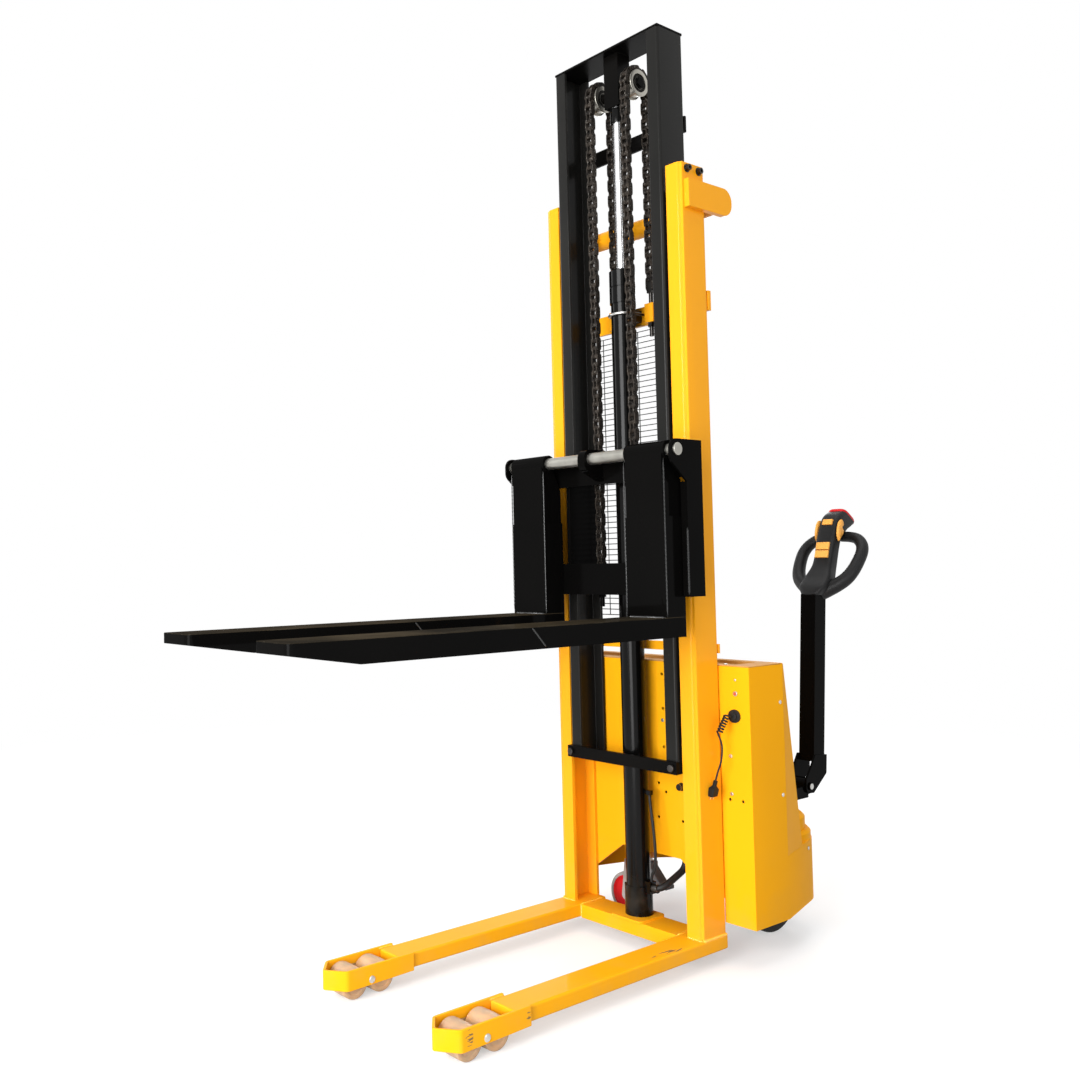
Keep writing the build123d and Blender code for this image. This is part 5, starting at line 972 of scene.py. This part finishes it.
def belly_cap():
    """Red cap: rounded-square rings on the head's end that rise and draw in over a low crown."""
    turn = around(48)
    middle = (HEAD_FRONTS[-1] + HEAD_REARS[-1]) / 2
    along = (HEAD_REARS[-1] - HEAD_FRONTS[-1]) / 2 * 1.05
    outward = unit(np.array((-along[1], along[0])))
    size = np.array((0.0, 1.0, 1.0, 0.95, 0.75, 0.4, 0.0))[:, None, None]
    rise = np.array((-0.002, -0.002, 0.0045, 0.008, 0.010, 0.011, 0.0114))[:, None, None]
    across = size * 0.0300 * squared(np.cos(turn), 0.5)
    upright = middle + size * squared(np.sin(turn), 0.5) * along + rise * outward
    return np.concatenate([across, upright], -1) + head_at


skin("belly_cap", [belly_cap()], red_plastic, "belly_button", "red_plastic", ["belly_button"])

# Charging cord: a curly rubber lead from a grommet in the right wing down to a moulded plug.
# The lead leaves the grommet straight, coils, and then hangs limp; the plug's prongs are brass.

grommet_low, grommet_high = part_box("cord_grommet")
dress("cord_grommet", rubber, 0.0012, segments=3)
BRASS, PRONG_TOP = (0.75, 0.42, 0.13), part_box("charger_plug")[0].z + 0.0085


def plug_plastic():
    """Black moulding whose two prongs below it are brass."""
    made = Finish("plug_moulding", Specular_IOR_Level=0.18)
    moulded = made.along("Z").above(PRONG_TOP - 0.0004, PRONG_TOP)
    grain = made.noise(900.0)
    made.feed("Metallic", 1 - moulded)
    shade = made.mix(moulded, BRASS, made.mix(grain, PLASTIC, PLASTIC_PALE))
    return made.done(shade, 0.25 + moulded * 0.15 + grain * 0.1, grain, 0.0001)


dress("charger_plug", plug_plastic(), 0.001)
CORD_RADIUS, CURL_RADIUS, CURL_PITCH, CURL_TURNS = 0.0024, 0.0062, 0.0074, 6.5
CURL_LEAD, CURL_AIM = (0.0, -0.008, 0.002), (-4.0, -25.0, -38.0)
TAIL = [
    (0.271, 0.057, 0.567), (0.272, 0.057, 0.546), (0.268, 0.056, 0.516), (0.258, 0.053, 0.490), (0.253, 0.052, 0.470)]


def curly_route():
    """Exit, helix and tail. The helix goes round an axis: a circle's two arms, plus the pitch along the axis."""
    leave = np.array((0.0, -1.0, 0.0))
    start = np.array(((grommet_low.x + grommet_high.x) / 2, grommet_low.y, (grommet_low.z + grommet_high.z) / 2))
    exit_end = start + leave * 2 * CORD_RADIUS
    along = unit(np.array(CURL_AIM))
    rise = unit(leave - along * (leave @ along))
    out = np.cross(rise, along)
    axis = exit_end + np.array(CURL_LEAD) - out * CURL_RADIUS
    turns = np.linspace(0, CURL_TURNS, int(16 * CURL_TURNS) + 1)[:, None]
    angle = 2 * pi * turns
    helix = axis + along * CURL_PITCH * turns + CURL_RADIUS * (out * np.cos(angle) + rise * np.sin(angle))
    tail = np.array(TAIL) + (0.0, mast_front, 0.0)
    return np.vstack([start, exit_end, helix, tail])


route = curly_route()
lead_curve = soft_line("charger_lead", route, CORD_RADIUS, 4, 4)
lead = settle("charger_lead", lead_curve, rubber, "chassis", "hose_rubber", ["charger_cord"])

# Studio: a pale floor that fades to white, soft lamps from the front and above, and the photograph's camera.
# The floor shows the machine's shadow to the camera, and sends only a little light back up.


def seen_rays(nodes):
    """1 for rays from the camera, direct or by way of metal or glass, and 0 for the rest."""
    kinds = ("Camera", "Glossy", "Transmission")
    rays = [nodes.node("LightPath", (), f"Is {kind} Ray") for kind in kinds]
    return rays[0].math("MAXIMUM", rays[0].math("MAXIMUM", rays[0], rays[1]), rays[2])


WHITE = (1, 1, 1, 1)
FLOOR_HALF = 14.0
floor_mesh = bpy.data.meshes.new("floor")
corners = FLOOR_HALF * np.array([(-1, -1, 0), (1, -1, 0), (1, 1, 0), (-1, 1, 0)])
floor_mesh.from_pydata(corners.tolist(), [], [(0, 1, 2, 3)])
floor = placed("floor", floor_mesh)
floor_finish = Finish(
    "pale_floor", Base_Color=(0.62, 0.62, 0.62, 1), Roughness=0.9, Specular_IOR_Level=0.0, Emission_Color=WHITE,
    Emission_Strength=0.42)
white_glow = floor_finish.node("Emission", {"Color": WHITE, "Strength": 1.0})
dim = floor_finish.node("BsdfDiffuse", {"Color": (0.34, 0.34, 0.34, 1)})
lit = Signal(floor_finish, floor_finish.shader.outputs["BSDF"])
far = floor_finish.reach((0.0, 0.0, 0.0)).above(1.7, 4.5)
shown = floor_finish.node("MixShader", {0: far, 1: lit, 2: white_glow})
seen_floor = floor_finish.node("MixShader", {0: seen_rays(floor_finish), 1: dim, 2: shown})
floor_finish.show(seen_floor, "Material Output")
floor_mesh.materials.append(floor_finish.material)


def soft_lamp(name, place, aim, size, power):
    """Square area lamp at a place, turned to a point."""
    data = bpy.data.lights.new(name, "AREA")
    data.shape = "SQUARE"
    data.size = size
    data.energy = power
    lamp = placed(name, data)
    lamp.location = place
    lamp.rotation_euler = (Vector(aim) - Vector(place)).to_track_quat("-Z", "Y").to_euler()


soft_lamp("key", (1.0, -5.5, 2.2), (0.0, 0.0, 1.0), 3.2, 385)
soft_lamp("fill", (5.0, -1.5, 2.2), (0.0, 0.2, 0.9), 3.0, 78)
soft_lamp("low", (1.2, -2.6, 0.5), (0.2, -0.5, 0.05), 1.2, 34)
soft_lamp("top", (0.0, 0.0, 6.0), (0.0, 0.0, 0.0), 4.0, 110)
soft_lamp("rear", (-3.0, 5.0, 3.2), (0.0, 0.2, 1.0), 3.0, 120)
soft_lamp("left", (-5.0, -1.5, 2.6), (0.0, 0.0, 1.0), 3.0, 70)
world = bpy.data.worlds.new("studio")
bpy.context.scene.world = world
world.use_nodes = True
sky = Nodes(world.node_tree)
sky.tree.nodes.remove(sky.tree.nodes["Background"])
ambient = sky.node("Background", {"Color": WHITE, "Strength": 0.45})
backdrop = sky.node("Background", {"Color": WHITE, "Strength": 1.0})
sky.show(sky.node("MixShader", {0: seen_rays(sky), 1: ambient, 2: backdrop}), "World Output")

# The camera's place and turn were fitted to the photograph's straight edges.
CAMERA_AT = (1.944, mast_front - 2.245, 1.028)
AZIMUTH, ELEVATION, ROLL = radians(53.36), radians(-2.20), radians(-1.05)
FOCAL_PIXELS, IMAGE_PIXELS, SENSOR = 1065.7, 1080.0, 36.0
SHIFT_RIGHT, SHIFT_UP = 157.7, -14.3
back = Vector((sin(AZIMUTH) * cos(ELEVATION), -cos(AZIMUTH) * cos(ELEVATION), sin(ELEVATION)))
level = Vector((cos(AZIMUTH), sin(AZIMUTH), 0.0))
upright = back.cross(level)
right = level * cos(ROLL) + upright * sin(ROLL)
above = upright * cos(ROLL) - level * sin(ROLL)
camera_data = bpy.data.cameras.new("camera")
camera = placed("camera", camera_data)
camera.matrix_world = Matrix.Translation(CAMERA_AT) @ Matrix((right, above, back)).transposed().to_4x4()
camera_data.sensor_width = SENSOR
camera_data.lens = FOCAL_PIXELS / IMAGE_PIXELS * SENSOR
camera_data.shift_x = SHIFT_RIGHT / IMAGE_PIXELS
camera_data.shift_y = SHIFT_UP / IMAGE_PIXELS
camera_data.clip_end = 60.0
bpy.context.scene.camera = camera
bpy.context.scene.view_settings.view_transform = "Standard"
